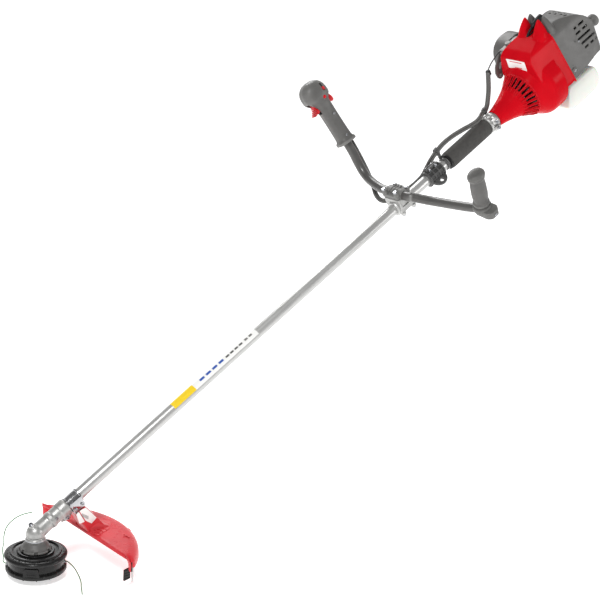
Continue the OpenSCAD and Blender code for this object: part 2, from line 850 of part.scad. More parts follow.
module air_filter_cover() color(grey) {
    on_engine() difference() {
        union() {
            intersection() {
                plate_y(79, 120) polygon([[182, 26], [188, 12], [258, 12], [276, 30], [276, 70],
                    [258, 92], [216, 94], [194, 82], [182, 56]]);
                translate([229, 78, 54]) rotate([-90, 0, 0])
                    cylinder(h = 43, r1 = 68, r2 = 42, $fn = 90);
            }
            // Inlet collar that seats on the carburettor
            translate([255, 72.6, 59]) rotate([-90, 0, 0]) cylinder(h = 8, r = 12);
        }
        plate_y(81.5, 117) polygon([[185, 27], [190, 15], [256, 15], [273, 31], [273, 69],
            [256, 89], [218, 91], [196, 80], [185, 55]]);
        translate([255, 70, 59]) rotate([-90, 0, 0]) cylinder(h = 20, r = 8);
        // The rim follows the front cover's round body
        rod(160, 215 + gap, 84 + gap);
    }
}

module starter_pulley() color(black) {
    on_engine() difference() {
        turned_x([[8, starter_x], [30, starter_x], [30, starter_x + 3], [24, starter_x + 4],
            [24, starter_x + 8], [30, starter_x + 9], [30, starter_x + 12], [8, starter_x + 12]]);
        rod(starter_x - 1, starter_x + 20, 7 + fit);
    }
}

module starter_rope() color(black) {
    on_engine() translate([0, pull_y, pull_z]) rod(starter_x + 14, rear + 12, 1.75);
}

module starter_handle() color(grey) {
    on_engine() translate([rear + 2, pull_y, pull_z]) difference() {
        turned_x([[0, 0], [7, 0], [8, 8], [13, 14], [15.5, 20], [15.5, 26], [12, 31],
            [0, 33]]);
        rod(-1, 10, 1.75 + fit);
    }
}

module starter_housing() color(dark) {
    on_engine() difference() {
        turned_x([[0, 326], [50, 326], [52, 330], [52, 360], [46, 374], [0, 380]]);
        turned_x([[0, 320], [38, 320], [49, 330], [49, 359], [44, 371.5], [0, 377]]);
        rod(310, 329, 35);
        translate([0, pull_y, pull_z]) rod(350, 400, 3);
        for (i = [0:11]) rotate([30 * i, 0, 0]) translate([0, 40, 0]) rod(360, 390, 2.6);
    }
}

// Outline of the covers above the shaft, seen from the front
near_side = [[-81, -22], [-47, 106], [-30, 121], [30, 121], [47, 106]];
function shrunk(p, d) = [for (q = p) [q.x - d * sign(q.x), q.y > 0 ? q.y - d : q.y]];

module front_solid(d) {
    turned_x([[0, 30 - d], [22 - d, 30 - d], [24.5 - d, 46], [32 - d, 76], [43 - d, 106],
        [57 - d, cone_end], [60 - d, 138], [80 - d, 168], [84 - d, 176], [84 - d, 215],
        [0, 215]]);
    intersection() {
        plate_x(140, parting + d) polygon(concat(shrunk(near_side, d), [[81 - d, -22]]));
        plate_y(-90, 90) polygon([[152 + d, 40], [152 + d, 94 - d], [166, 106 - d],
            [224, 126], [parting + d, 126], [parting + d, -22 - d], [200, -60], [168 + d, 0]]);
    }
}

module ear(side) {
    translate([0, side * 23 - 9, 0]) plate_y(0, 18) polygon([[205, 112], [224, 146],
        [234, 156], [241, 156], [246, 146], [247, 112]]);
}

module front_cover() color(red) {
    on_engine() {
        difference() {
            union() {
                front_solid(0);
                for (side = [-1, 1]) ear(side);
            }
            difference() {
                front_solid(shell);
                translate([-5, -100, -100]) cube([40, 200, 200]);
            }
            turned_x([[0, 20], [20, 20], [20, 62], [29, 93], [38, 103], [38, 110], [0, 110]]);
            // Cooling louvers around the cone
            for (i = [-5:5]) rotate([58 + 15 * i, 0, 0])
                translate([112, -2.2, 30]) cube([18, 4.4, 40]);
            // Notch between the ears for the plug boot
            translate([200, -13, 108]) cube([60, 26, 60]);
            translate([200, -20, 90]) cube([20, 40, 60]);
            // Window for the carburettor on the right-hand side
            translate([164, 42, 47]) cube([90, 40, 55]);
        }
        // Mounting rim against the crankcase
        difference() {
            rod(205, 209, 82.5);
            rod(200, 212, 44);
        }
    }
}

module cylinder_shroud() color(grey) {
    profile = [[parting + gap, -22], [parting + gap, 122], [300, 120], [336, 110], [364, 90],
        [rear - 6, 60], [rear, 30], [rear, -4], [rear - 40, -4]];
    on_engine() difference() {
        intersection() {
            plate_x(parting, rear) polygon(concat(near_side, [[47, 64], [46, 64], [46, -22]]));
            plate_y(-90, 90) polygon(profile);
        }
        intersection() {
            plate_x(parting - 5, rear - shell) polygon([[-81 + shell, -30], [-47 + shell, 104],
                [-30, 121 - shell], [30, 121 - shell], [47 - shell, 104], [47 - shell, -30]]);
            plate_y(-90, 90) polygon([[parting - 5, -40], [parting - 5, 119.5], [299, 117.5],
                [335, 107.5], [362, 88], [rear - 8.5, 59], [rear - shell, 29], [rear - shell, -40]]);
        }
        // Opening for the carburettor side
        translate([parting - 1, 40, -30]) cube([60, 20, 115]);
        translate([parting + 50, 40, -30]) cube([90, 20, 66]);
        // Cooling slots on the muffler side
        for (k = [0:2]) translate([306 + 4 * k, -90, 30 + 13 * k]) cube([46, 45, 5]);
        // Plug boot opening and starter rope eyelet
        translate([parting - 1, -12, 112]) cube([30, 24, 20]);
        translate([0, pull_y, pull_z]) rod(rear - 10, rear + 10, 3);
    }
}

module fuel_tank() color([0.92, 0.92, 0.88, 0.8]) {
    on_engine() difference() {
        intersection() {
            plate_y(-58, 58) polygon([[216, -88], [222, -104], [240, -116], [300, -116],
                [326, -105], [340, -84], [340, -62], [328, -56], [316, -38], [238, -38],
                [218, -88]]);
            plate_x(200, 350) polygon([[-58, -98], [-42, -116], [42, -116], [58, -98],
                [58, -50], [50, -38], [-50, -38], [-58, -50]]);
        }
        intersection() {
            plate_y(-56, 56) polygon([[220, -90], [225, -102], [241, -113.5], [299, -113.5],
                [324, -103], [337, -83], [337, -64], [326, -58], [314, -41], [240, -41],
                [222, -84]]);
            plate_x(200, 350) polygon([[-55.5, -97], [-41, -113.5], [41, -113.5], [55.5, -97],
                [55.5, -51], [49, -41], [-49, -41], [-55.5, -51]]);
        }
        translate([278, 40, -80]) rotate([-90, 0, 0]) cylinder(h = 30, r = 13);
    }
}

module fuel_cap() color(black) {
    on_engine() translate([278, 58.3, -80]) rotate([-90, 0, 0]) difference() {
        union() {
            translate([0, 0, -8]) cylinder(h = 9, r = 12.9);
            cylinder(h = 12, r = 18);
            translate([-15, -3, 11]) cube([30, 6, 6]);
        }
        for (i = [0:11]) rotate([0, 0, 30 * i]) translate([19, 0, -1]) cylinder(h = 20, r = 2);
    }
}

gearbox_case();
ball_bearings();
shaft_tube();
shaft_bushes();
drive_shaft();
bevel_pinion();
bevel_gear();
output_spindle();
head_cone();
head_housing();
head_cover();
spool();
line_winding();
tap_knob();
spool_spring();
cutting_line_a();
cutting_line_b();
guard_bracket();
guard();
line_cutter();
cutter_holder();
handlebar();
clamp_base();
clamp_saddle();
left_grip();
throttle_housing_left();
throttle_housing_right();
throttle_trigger();
lockout_lever();
latch_button();
stop_switch();
throttle_conduit();
conduit_clips();
harness_clamp();
foam_grip();
shaft_screws();
engine_collar();
clutch_drum();
clutch_shoe_a();
clutch_shoe_b();
flywheel_fan();
crankshaft();
crankcase();
engine_cylinder();
piston();
connecting_rod();
spark_plug();
plug_boot();
muffler();
carburettor();
carb_lever();
air_filter_cover();
starter_pulley();
starter_rope();
starter_handle();
starter_housing();
front_cover();
cylinder_shroud();
fuel_tank();
fuel_cap();
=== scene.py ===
import json
import math

import bmesh
import bpy
from mathutils import Matrix, Vector


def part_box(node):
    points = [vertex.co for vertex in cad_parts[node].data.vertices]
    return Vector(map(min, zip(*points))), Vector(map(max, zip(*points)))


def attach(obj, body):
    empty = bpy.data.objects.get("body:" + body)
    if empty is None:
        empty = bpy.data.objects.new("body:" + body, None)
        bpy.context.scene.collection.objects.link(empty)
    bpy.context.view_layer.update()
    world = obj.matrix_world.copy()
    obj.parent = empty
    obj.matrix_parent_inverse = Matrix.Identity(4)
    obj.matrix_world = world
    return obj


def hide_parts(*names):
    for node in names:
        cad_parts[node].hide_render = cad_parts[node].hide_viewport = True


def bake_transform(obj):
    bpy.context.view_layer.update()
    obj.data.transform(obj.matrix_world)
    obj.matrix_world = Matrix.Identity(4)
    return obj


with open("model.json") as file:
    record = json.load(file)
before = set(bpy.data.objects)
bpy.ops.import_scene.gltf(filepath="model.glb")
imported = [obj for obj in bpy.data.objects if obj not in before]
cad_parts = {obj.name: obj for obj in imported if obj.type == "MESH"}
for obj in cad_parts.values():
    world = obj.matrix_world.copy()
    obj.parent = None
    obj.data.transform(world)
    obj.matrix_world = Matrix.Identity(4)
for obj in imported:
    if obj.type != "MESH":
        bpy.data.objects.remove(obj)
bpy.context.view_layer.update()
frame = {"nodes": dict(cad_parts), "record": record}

# ---- Frames, as in the CAD part: millimetres inside, metres in the scene ----
SLOPE = 30
GEAR_HEIGHT = 95
ENGINE_AT = 1480
BAR_AT = 1166
THROTTLE_FOOT = (1201, 172, 117)
LEFT_GRIP_FOOT = (1212, -236, 14)
MM = 0.001
TUBE_R, ON_TUBE = 13, 13.05


def shift(x, y, z):
    return Matrix.Translation((x, y, z))


def turn(degrees, axis):
    return Matrix.Rotation(math.radians(degrees), 4, axis)


knob_low, knob_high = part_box("tap_knob")
HEAD = shift((knob_low.x + knob_high.x) / 2, (knob_low.y + knob_high.y) / 2, knob_low.z) @ Matrix.Scale(MM, 4)
SHAFT = HEAD @ shift(0, 0, GEAR_HEIGHT) @ turn(-SLOPE, "Y")
ENGINE = SHAFT @ shift(ENGINE_AT, 0, 0)
BAR = SHAFT @ shift(BAR_AT, 0, 0)
THROTTLE = SHAFT @ shift(*THROTTLE_FOOT) @ turn(3.5, "Y") @ turn(-23, "X")
LEFT_GRIP = SHAFT @ shift(*LEFT_GRIP_FOOT) @ turn(-2, "Y") @ turn(14.6, "X")
ALONG_X = turn(90, "Y")
ALONG_Y = turn(-90, "X")


# ---- Camera ----
CAMERA_FROM = Vector((-1.69044, -2.88577, 1.65372))
CAMERA_TO = Vector((0.70711, 0, 0.48951))
CAMERA_ROLL = math.radians(1.8)
LENS = 102.5


def aim_camera():
    where, target = HEAD.translation + CAMERA_FROM, HEAD.translation + CAMERA_TO
    ahead = (target - where).normalized()
    right = ahead.cross(Vector((0, 0, 1))).normalized()
    up = right.cross(ahead)
    tilted_right = right * math.cos(CAMERA_ROLL) + up * math.sin(CAMERA_ROLL)
    tilted_up = up * math.cos(CAMERA_ROLL) - right * math.sin(CAMERA_ROLL)
    data = bpy.data.cameras.new("camera")
    data.lens, data.sensor_width = LENS, 36
    data.clip_start, data.clip_end = 0.1, 60
    camera = bpy.data.objects.new("camera", data)
    bpy.context.scene.collection.objects.link(camera)
    rotation = Matrix((tilted_right, tilted_up, -ahead)).transposed().to_4x4()
    camera.matrix_world = Matrix.Translation(where) @ rotation
    bpy.context.scene.camera = camera


aim_camera()


# ---- Mesh tools; every shape is a bmesh in millimetres ----
def from_rings(rings, caps=True, wrap=True):
    bm = bmesh.new()
    loops = [[bm.verts.new(p) for p in ring] for ring in rings]
    count = len(rings[0])
    for a, b in zip(loops, loops[1:]):
        for i in range(count if wrap else count - 1):
            j = (i + 1) % count
            bm.faces.new((a[i], a[j], b[j], b[i]))
    if caps:
        bm.faces.new(list(reversed(loops[0])))
        bm.faces.new(loops[-1])
    bmesh.ops.recalc_face_normals(bm, faces=bm.faces)
    return bm


def circle(r, z, sides):
    return [(r * math.cos(math.tau * i / sides), r * math.sin(math.tau * i / sides), z) for i in range(sides)]


def lathe(profile, sides=72, ring=False):
    """Turned about Z from points (radius, z); ring closes the profile on itself."""
    rows = [circle(max(r, 0), z, sides) for r, z in profile]
    if ring:
        rows.append(rows[0])
    bm = from_rings(rows, caps=False)
    bmesh.ops.remove_doubles(bm, verts=bm.verts, dist=1e-4)
    bmesh.ops.recalc_face_normals(bm, faces=bm.faces)
    return bm


def prism(outline, low, high, plane="XY"):
    """Outline pushed from low to high along the axis that the plane leaves out."""
    def at(p, h):
        return {"XY": (p[0], p[1], h), "XZ": (p[0], h, p[1]), "YZ": (h, p[0], p[1])}[plane]
    return from_rings([[at(p, low) for p in outline], [at(p, high) for p in outline]])


def block(x0, x1, y0, y1, z0, z1):
    return prism([(x0, y0), (x1, y0), (x1, y1), (x0, y1)], z0, z1)


def rod(r, low, high, edge=0.6, sides=40):
    """Solid round bar along Z with rounded rims."""
    k = edge * 0.3
    return lathe([(0, low), (r - edge, low), (r - k, low + k), (r, low + edge),
                  (r, high - edge), (r - k, high - k), (r - edge, high), (0, high)], sides)


def rounded(outline, radius, steps=5):
    """Each corner of an outline turned into a small curve."""
    points = []
    for i, p in enumerate(outline):
        corner = Vector(p)
        before, after = Vector(outline[i - 1]), Vector(outline[(i + 1) % len(outline)])
        reach_a = min(radius, (before - corner).length * 0.45)
        reach_b = min(radius, (after - corner).length * 0.45)
        a = corner + (before - corner).normalized() * reach_a
        b = corner + (after - corner).normalized() * reach_b
        for k in range(steps + 1):
            t = k / steps
            points.append(tuple(a * (1 - t) ** 2 + corner * 2 * t * (1 - t) + b * t * t))
    return points


def spline(points, steps):
    """Smooth curve through the points."""
    points = [Vector(p) for p in points]
    last = len(points) - 1
    out = []
    for i in range(last):
        a, b = points[max(i - 1, 0)], points[i]
        c, d = points[i + 1], points[min(i + 2, last)]
        for k in range(steps):
            t = k / steps
            out.append(0.5 * (2 * b + (c - a) * t + (2 * a - 5 * b + 4 * c - d) * t * t
                              + (3 * b - a - 3 * c + d) * t ** 3))
    out.append(points[last])
    return out


def tube(path, radius, sides=16):
    """Round tube along a path; radius is a number or one for each point."""
    path = [Vector(p) for p in path]
    radii = radius if isinstance(radius, list) else [radius] * len(path)
    rings, side = [], None
    for i, p in enumerate(path):
        ahead = (path[min(i + 1, len(path) - 1)] - path[max(i - 1, 0)]).normalized()
        if side is None:
            side = ahead.orthogonal().normalized()
        side = (side - ahead * side.dot(ahead)).normalized()
        up = ahead.cross(side)
        rings.append([p + side * (radii[i] * math.cos(math.tau * k / sides))
                      + up * (radii[i] * math.sin(math.tau * k / sides)) for k in range(sides)])
    return from_rings(rings)


def socket_head(r, height):
    """Cap screw head with a hexagon socket."""
    sides = 36

    def hexagon(flat, z):
        ring = []
        for i in range(sides):
            t = math.tau * i / sides
            reach = flat / math.cos((t % (math.tau / 6)) - math.tau / 12)
            ring.append((reach * math.cos(t), reach * math.sin(t), z))
        return ring
    edge = r * 0.12
    return from_rings([circle(r, 0, sides), circle(r, height - edge, sides), circle(r - edge, height, sides),
                       hexagon(r * 0.5, height), hexagon(r * 0.46, height * 0.45)])


def nut(r, height):
    """Hexagon nut or bolt head with chamfered corners."""
    corners = [(r * math.cos(math.tau * i / 6), r * math.sin(math.tau * i / 6)) for i in range(6)]
    return soften(prism(corners, 0, height), r * 0.1)


def heads(r, height, places):
    """Socket heads at each of the places."""
    return joined(*[placed(socket_head(r, height), place) for place in places])


def soften(bm, width, segments=2, sharp=28):
    """Rounds the sharp edges of a shape."""
    edges = [e for e in bm.edges if len(e.link_faces) == 2 and e.calc_face_angle(0) > math.radians(sharp)]
    bmesh.ops.bevel(bm, geom=edges, offset=width, segments=segments, profile=0.5,
                    affect="EDGES", clamp_overlap=True)
    return bm


def placed(bm, matrix):
    bm.transform(matrix)
    return bm


def around(bm, angles, axis="Z", place=Matrix()):
    """Copies of a placed shape, turned about an axis by each angle."""
    copies = [placed(bm.copy(), turn(a, axis) @ place) for a in angles]
    bm.free()
    return copies


def rod_x(r, low, high, edge=0.6, sides=40, at=(0, 0)):
    """Rod along X through (y, z)."""
    return placed(rod(r, low, high, edge, sides), shift(0, *at) @ ALONG_X)


def rod_y(r, low, high, edge=0.6, sides=40, at=(0, 0)):
    """Rod along Y through (x, z)."""
    return placed(rod(r, low, high, edge, sides), shift(at[0], 0, at[1]) @ ALONG_Y)


def lathe_x(profile, sides=72, ring=False):
    """Turned shape along X."""
    return placed(lathe(profile, sides, ring), ALONG_X)


def joined(*parts):
    """Several shapes as one."""
    whole = bmesh.new()
    for part in parts:
        mesh = bpy.data.meshes.new("part")
        part.to_mesh(mesh)
        part.free()
        whole.from_mesh(mesh)
        bpy.data.meshes.remove(mesh)
    return whole


def as_object(bm, name="work"):
    mesh = bpy.data.meshes.new(name)
    bm.to_mesh(mesh)
    bm.free()
    obj = bpy.data.objects.new(name, mesh)
    bpy.context.scene.collection.objects.link(obj)
    return obj


def taken(obj):
    """The object's final shape as a bmesh; the object is removed."""
    bpy.context.view_layer.update()
    final = obj.evaluated_get(bpy.context.evaluated_depsgraph_get()).to_mesh()
    bm = bmesh.new()
    bm.from_mesh(final)
    mesh = obj.data
    bpy.data.objects.remove(obj)
    bpy.data.meshes.remove(mesh)
    return bm


def combined(base, tool, operation):
    """Exact union, difference or intersection of two shapes."""
    base, tool = as_object(base), as_object(tool)
    modifier = base.modifiers.new("combine", "BOOLEAN")
    modifier.operation, modifier.solver, modifier.object = operation, "EXACT", tool
    modifier.use_self = True
    result = taken(base)
    mesh = tool.data
    bpy.data.objects.remove(tool)
    bpy.data.meshes.remove(mesh)
    return result


def cut(base, *tools):
    return combined(base, joined(*tools), "DIFFERENCE")


def united(*parts):
    whole = parts[0]
    for part in parts[1:]:
        whole = combined(whole, part, "UNION")
    return whole


def common(base, tool):
    return combined(base, tool, "INTERSECT")


def moulded(bm, voxel, rounds):
    """Even skin over a shape, smoothed as a moulding or casting is."""
    obj = as_object(bm)
    remesh = obj.modifiers.new("skin", "REMESH")
    remesh.mode, remesh.voxel_size = "VOXEL", voxel
    smooth = obj.modifiers.new("smooth", "SMOOTH")
    smooth.factor, smooth.iterations = 0.5, rounds
    return taken(obj)


def shade(obj, look):
    obj.data.materials.append(look)
    obj.data.polygons.foreach_set("use_smooth", [True] * len(obj.data.polygons))


def add(name, bm, place, slot, replaces=(), sharp=32, body="root", look=None):
    """Turns a shape into a piece of the model; its look is the slot's unless one is given."""
    bm.transform(place)
    bmesh.ops.recalc_face_normals(bm, faces=bm.faces)
    obj = as_object(bm, name)
    shade(obj, look or LOOKS[slot])
    obj.data.set_sharp_from_angle(angle=math.radians(sharp))
    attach(obj, body)
    if replaces:
        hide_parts(*replaces)
    return obj


# ---- Materials ----
class Nodes:
    """Short names for building a material's nodes."""

    def __init__(self, name):
        self.material = bpy.data.materials.new(name)
        self.material.use_nodes = True
        self.tree = self.material.node_tree
        self.shader = self.tree.nodes["Principled BSDF"]
        self.place = self.make("ShaderNodeTexCoord").outputs["Object"]

    def make(self, kind, **settings):
        node = self.tree.nodes.new(kind)
        for key, value in settings.items():
            setattr(node, key, value)
        return node

    def put(self, node, **values):
        for key, value in values.items():
            node.inputs[key.replace("_", " ")].default_value = value

    def link(self, a, b):
        self.tree.links.new(a, b)

    def noise(self, scale, detail=3, rough=0.5, stretch=None):
        node = self.make("ShaderNodeTexNoise")
        self.put(node, Scale=scale, Detail=detail, Roughness=rough)
        source = self.place
        if stretch:
            mapping = self.make("ShaderNodeMapping")
            self.put(mapping, Rotation=(0, math.radians(SLOPE), 0), Scale=stretch)
            self.link(self.place, mapping.inputs["Vector"])
            source = mapping.outputs["Vector"]
        self.link(source, node.inputs["Vector"])
        return node.outputs["Fac"]

    def ramp(self, value, low, high, a, b):
        """a below low, b above high, and a blend between; a and b are numbers or colours."""
        if not isinstance(a, tuple):
            node = self.make("ShaderNodeMapRange")
            self.put(node, From_Min=low, From_Max=high, To_Min=a, To_Max=b)
            self.link(value, node.inputs["Value"])
            return node.outputs["Result"]
        node = self.make("ShaderNodeValToRGB")
        node.color_ramp.elements[0].position = low
        node.color_ramp.elements[1].position = high
        node.color_ramp.elements[0].color = (*a, 1)
        node.color_ramp.elements[1].color = (*b, 1)
        self.link(value, node.inputs["Fac"])
        return node.outputs["Color"]

    def mix(self, share, a, b):
        node = self.make("ShaderNodeMix", data_type="RGBA")
        self.link(share, node.inputs["Factor"])
        self.link(a, node.inputs["A"])
        self.link(b, node.inputs["B"])
        return node.outputs["Result"]


def surface(name, tone, rough, metal=0.0, vary=0.12, patch=35, grain=(900, 0.08), rough_vary=0.08,
            wear=None, coat=0.0, stretch=None, dust=0.0, **sockets):
    """A finish with drifting tone and gloss, a fine grain, worn edges and a little dust."""
    n = Nodes(name)
    shader = n.shader
    grain_scale, grain_depth = grain
    dark = tuple(max(c * (1 - vary), 0) for c in tone)
    light = tuple(min(c * (1 + vary), 1) for c in tone)
    colour = n.ramp(n.noise(patch, 4, 0.6), 0.3, 0.7, dark, light)
    if dust:
        powder = n.ramp(n.noise(patch * 3, 6, 0.7), 0.52, 0.8, 0.0, dust)
        pale = n.ramp(n.noise(patch, 2), 0.2, 0.8, (0.55, 0.53, 0.5), (0.62, 0.6, 0.57))
        colour = n.mix(powder, colour, pale)
    if wear:
        edge = n.make("ShaderNodeNewGeometry").outputs["Pointiness"]
        worn = n.ramp(edge, 0.515, 0.56, 0.0, 0.55)
        bare = n.ramp(n.noise(patch * 4), 0.3, 0.7, tuple(c * 0.9 for c in wear), wear)
        colour = n.mix(worn, colour, bare)
    n.link(colour, shader.inputs["Base Color"])
    n.link(n.ramp(n.noise(patch * 2.2, 5, 0.6), 0.3, 0.7, rough - rough_vary, rough + rough_vary),
           shader.inputs["Roughness"])
    bump = n.make("ShaderNodeBump")
    n.put(bump, Strength=grain_depth, Distance=0.0006)
    n.link(n.noise(grain_scale, 2, 0.5, stretch), bump.inputs["Height"])
    n.link(bump.outputs["Normal"], shader.inputs["Normal"])
    n.put(shader, Metallic=metal, Coat_Weight=coat, Coat_Roughness=0.06,
          Specular_IOR_Level=0.5 if metal > 0.3 else 0.28)
    n.put(shader, **sockets)
    return n.material


# Each finish: tone, roughness, metal, tone drift, drift scale, (grain scale, grain depth), gloss drift
cast_alloy = surface("cast_alloy_finish", (0.42, 0.42, 0.41), 0.42, 0.7, 0.14, 60, (420, 0.35), 0.12,
        wear=(0.62, 0.62, 0.61))
dull_alloy = surface("dull_alloy_finish", (0.16, 0.16, 0.155), 0.5, 0.4, 0.16, 60, (420, 0.35), 0.12,
        wear=(0.3, 0.3, 0.29))
satin_tube = surface("satin_tube_finish", (0.5, 0.5, 0.49), 0.36, 0.6, 0.05, 8, (160, 0.1), 0.06,
        stretch=(0.03, 1, 1))
steel = surface("steel_finish", (0.42, 0.43, 0.45), 0.24, 1.0, 0.08, 90, (700, 0.08), 0.08)
bright = surface("bright_plate_finish", (0.42, 0.42, 0.43), 0.14, 1.0, 0.1, 40, (200, 0.05), 0.06)
red_gloss = surface("red_gloss_finish", (0.52, 0.004, 0.01), 0.2, 0.0, 0.05, 20, (1400, 0.03), 0.05,
        wear=(0.6, 0.02, 0.03), Specular_IOR_Level=0.02)
red_guard = surface("red_guard_finish", (0.6, 0.02, 0.03), 0.3, 0.0, 0.08, 26, (1200, 0.06), 0.08,
        wear=(0.7, 0.08, 0.09), dust=0.04, Specular_IOR_Level=0.15)
red_control = surface("red_control_finish", (0.55, 0.008, 0.014), 0.34, 0.0, 0.08, 80, (1500, 0.05), 0.06,
        wear=(0.7, 0.05, 0.06))
grey_plastic = surface("grey_plastic_finish", (0.11, 0.108, 0.104), 0.4, 0.0, 0.08, 24, (2400, 0.22), 0.07,
        wear=(0.26, 0.26, 0.25), dust=0.04)
grip_rubber = surface("grip_rubber_finish", (0.1, 0.098, 0.094), 0.42, 0.0, 0.08, 50, (1700, 0.3), 0.08,
        wear=(0.22, 0.22, 0.21))
dark_plastic = surface("dark_plastic_finish", (0.045, 0.045, 0.044), 0.4, 0.0, 0.12, 50, (1800, 0.2), 0.08,
        wear=(0.12, 0.12, 0.12), dust=0.04)
black_plastic = surface("black_plastic_finish", (0.006, 0.006, 0.006), 0.24, 0.0, 0.3, 60, (1500, 0.08), 0.07,
        wear=(0.03, 0.03, 0.03), dust=0.02)
black_rubber = surface("black_rubber_finish", (0.012, 0.012, 0.013), 0.5, 0.0, 0.3, 80, (1500, 0.2), 0.1)
bar_paint = surface("bar_paint_finish", (0.085, 0.083, 0.08), 0.33, 0.1, 0.08, 30, (1500, 0.12), 0.08,
        wear=(0.3, 0.3, 0.29), coat=0.25)
foam = surface("foam_finish", (0.065, 0.063, 0.06), 0.86, 0.0, 0.12, 60, (700, 1.0), 0.08)
rope_black = surface("rope_finish", (0.02, 0.02, 0.02), 0.8, 0.0, 0.3, 300, (2600, 0.8), 0.1)
nylon = surface("nylon_finish", (0.05, 0.22, 0.06), 0.28, 0.0, 0.15, 60, (900, 0.1), 0.06,
        Transmission_Weight=0.25)
white_label = surface("white_label_finish", (0.86, 0.86, 0.84), 0.35, 0.0, 0.02, 40, (900, 0.04), 0.05,
        coat=0.2)
yellow_label = surface("yellow_label_finish", (0.85, 0.6, 0.02), 0.35, 0.0, 0.05, 40, (900, 0.04), 0.05,
        coat=0.2)
blue_label = surface("blue_label_finish", (0.03, 0.1, 0.42), 0.35, 0.0, 0.05, 40, (900, 0.04), 0.05, coat=0.2)
tank_plastic = surface("tank_finish", (0.84, 0.85, 0.8), 0.34, 0.0, 0.04, 14, (500, 0.1), 0.06,
                       Transmission_Weight=0.1, Subsurface_Weight=0.35, Subsurface_Scale=0.01)

LOOKS = {
    "cast_alloy": cast_alloy, "tube_silver": satin_tube, "bright_steel": steel, "bracket_chrome": bright,
    "fan_alloy": cast_alloy, "red_plastic": red_gloss, "red_control": red_control,
    "grey_plastic": grey_plastic, "grey_rubber": grip_rubber, "dark_plastic": dark_plastic,
    "black_plastic": black_plastic, "black_rubber": black_rubber, "bar_paint": bar_paint, "foam": foam,
    "nylon_line": nylon, "rope": rope_black, "tank_plastic": tank_plastic,
}
for part in frame["record"]["subparts"]:
    node = frame["nodes"][part["node"]]
    node.data.materials.clear()
    node.data.materials.append(LOOKS[part["material_slot"]])
    node.data.polygons.foreach_set("material_index", [0] * len(node.data.polygons))


# ---- Cutting line: the two free tails ----
TAIL_A = [(-48, 28.8, 28), (-54, 33, 28), (-54, 44, 28), (-43, 62, 28), (-30, 89, 30), (-14, 111, 33),
        (-2, 131, 38), (11, 148, 43), (28, 162, 48), (50, 171, 53), (71, 171, 57), (89, 163, 60)]
TAIL_B = [(48, -28.8, 28), (55, -34, 28), (55, -46, 28), (53, -62, 28), (46, -88, 28), (32, -126, 27),
        (15, -156, 27), (2, -180, 26)]
LINE_R = 1.2


def line_tail(name, points):
    path = spline(points, 6)
    piece = add(name + "_nylon", tube(path, LINE_R, 12), HEAD, "nylon_line", [name], body="cutting_head")


line_tail("cutting_line_a", TAIL_A)
line_tail("cutting_line_b", TAIL_B)


# ---- Cutting head ----
EYELETS = (-31, 149)
LATCHES = (50, 230)
LINE_Z = 28


def notches(count, r, size, low, high, start=0.0):
    """Round cutters in a ring about Z."""
    angles = [start + 360 * i / count for i in range(count)]
    return around(rod(size, low, high, 0.2, 20), angles, place=shift(r, 0, 0))


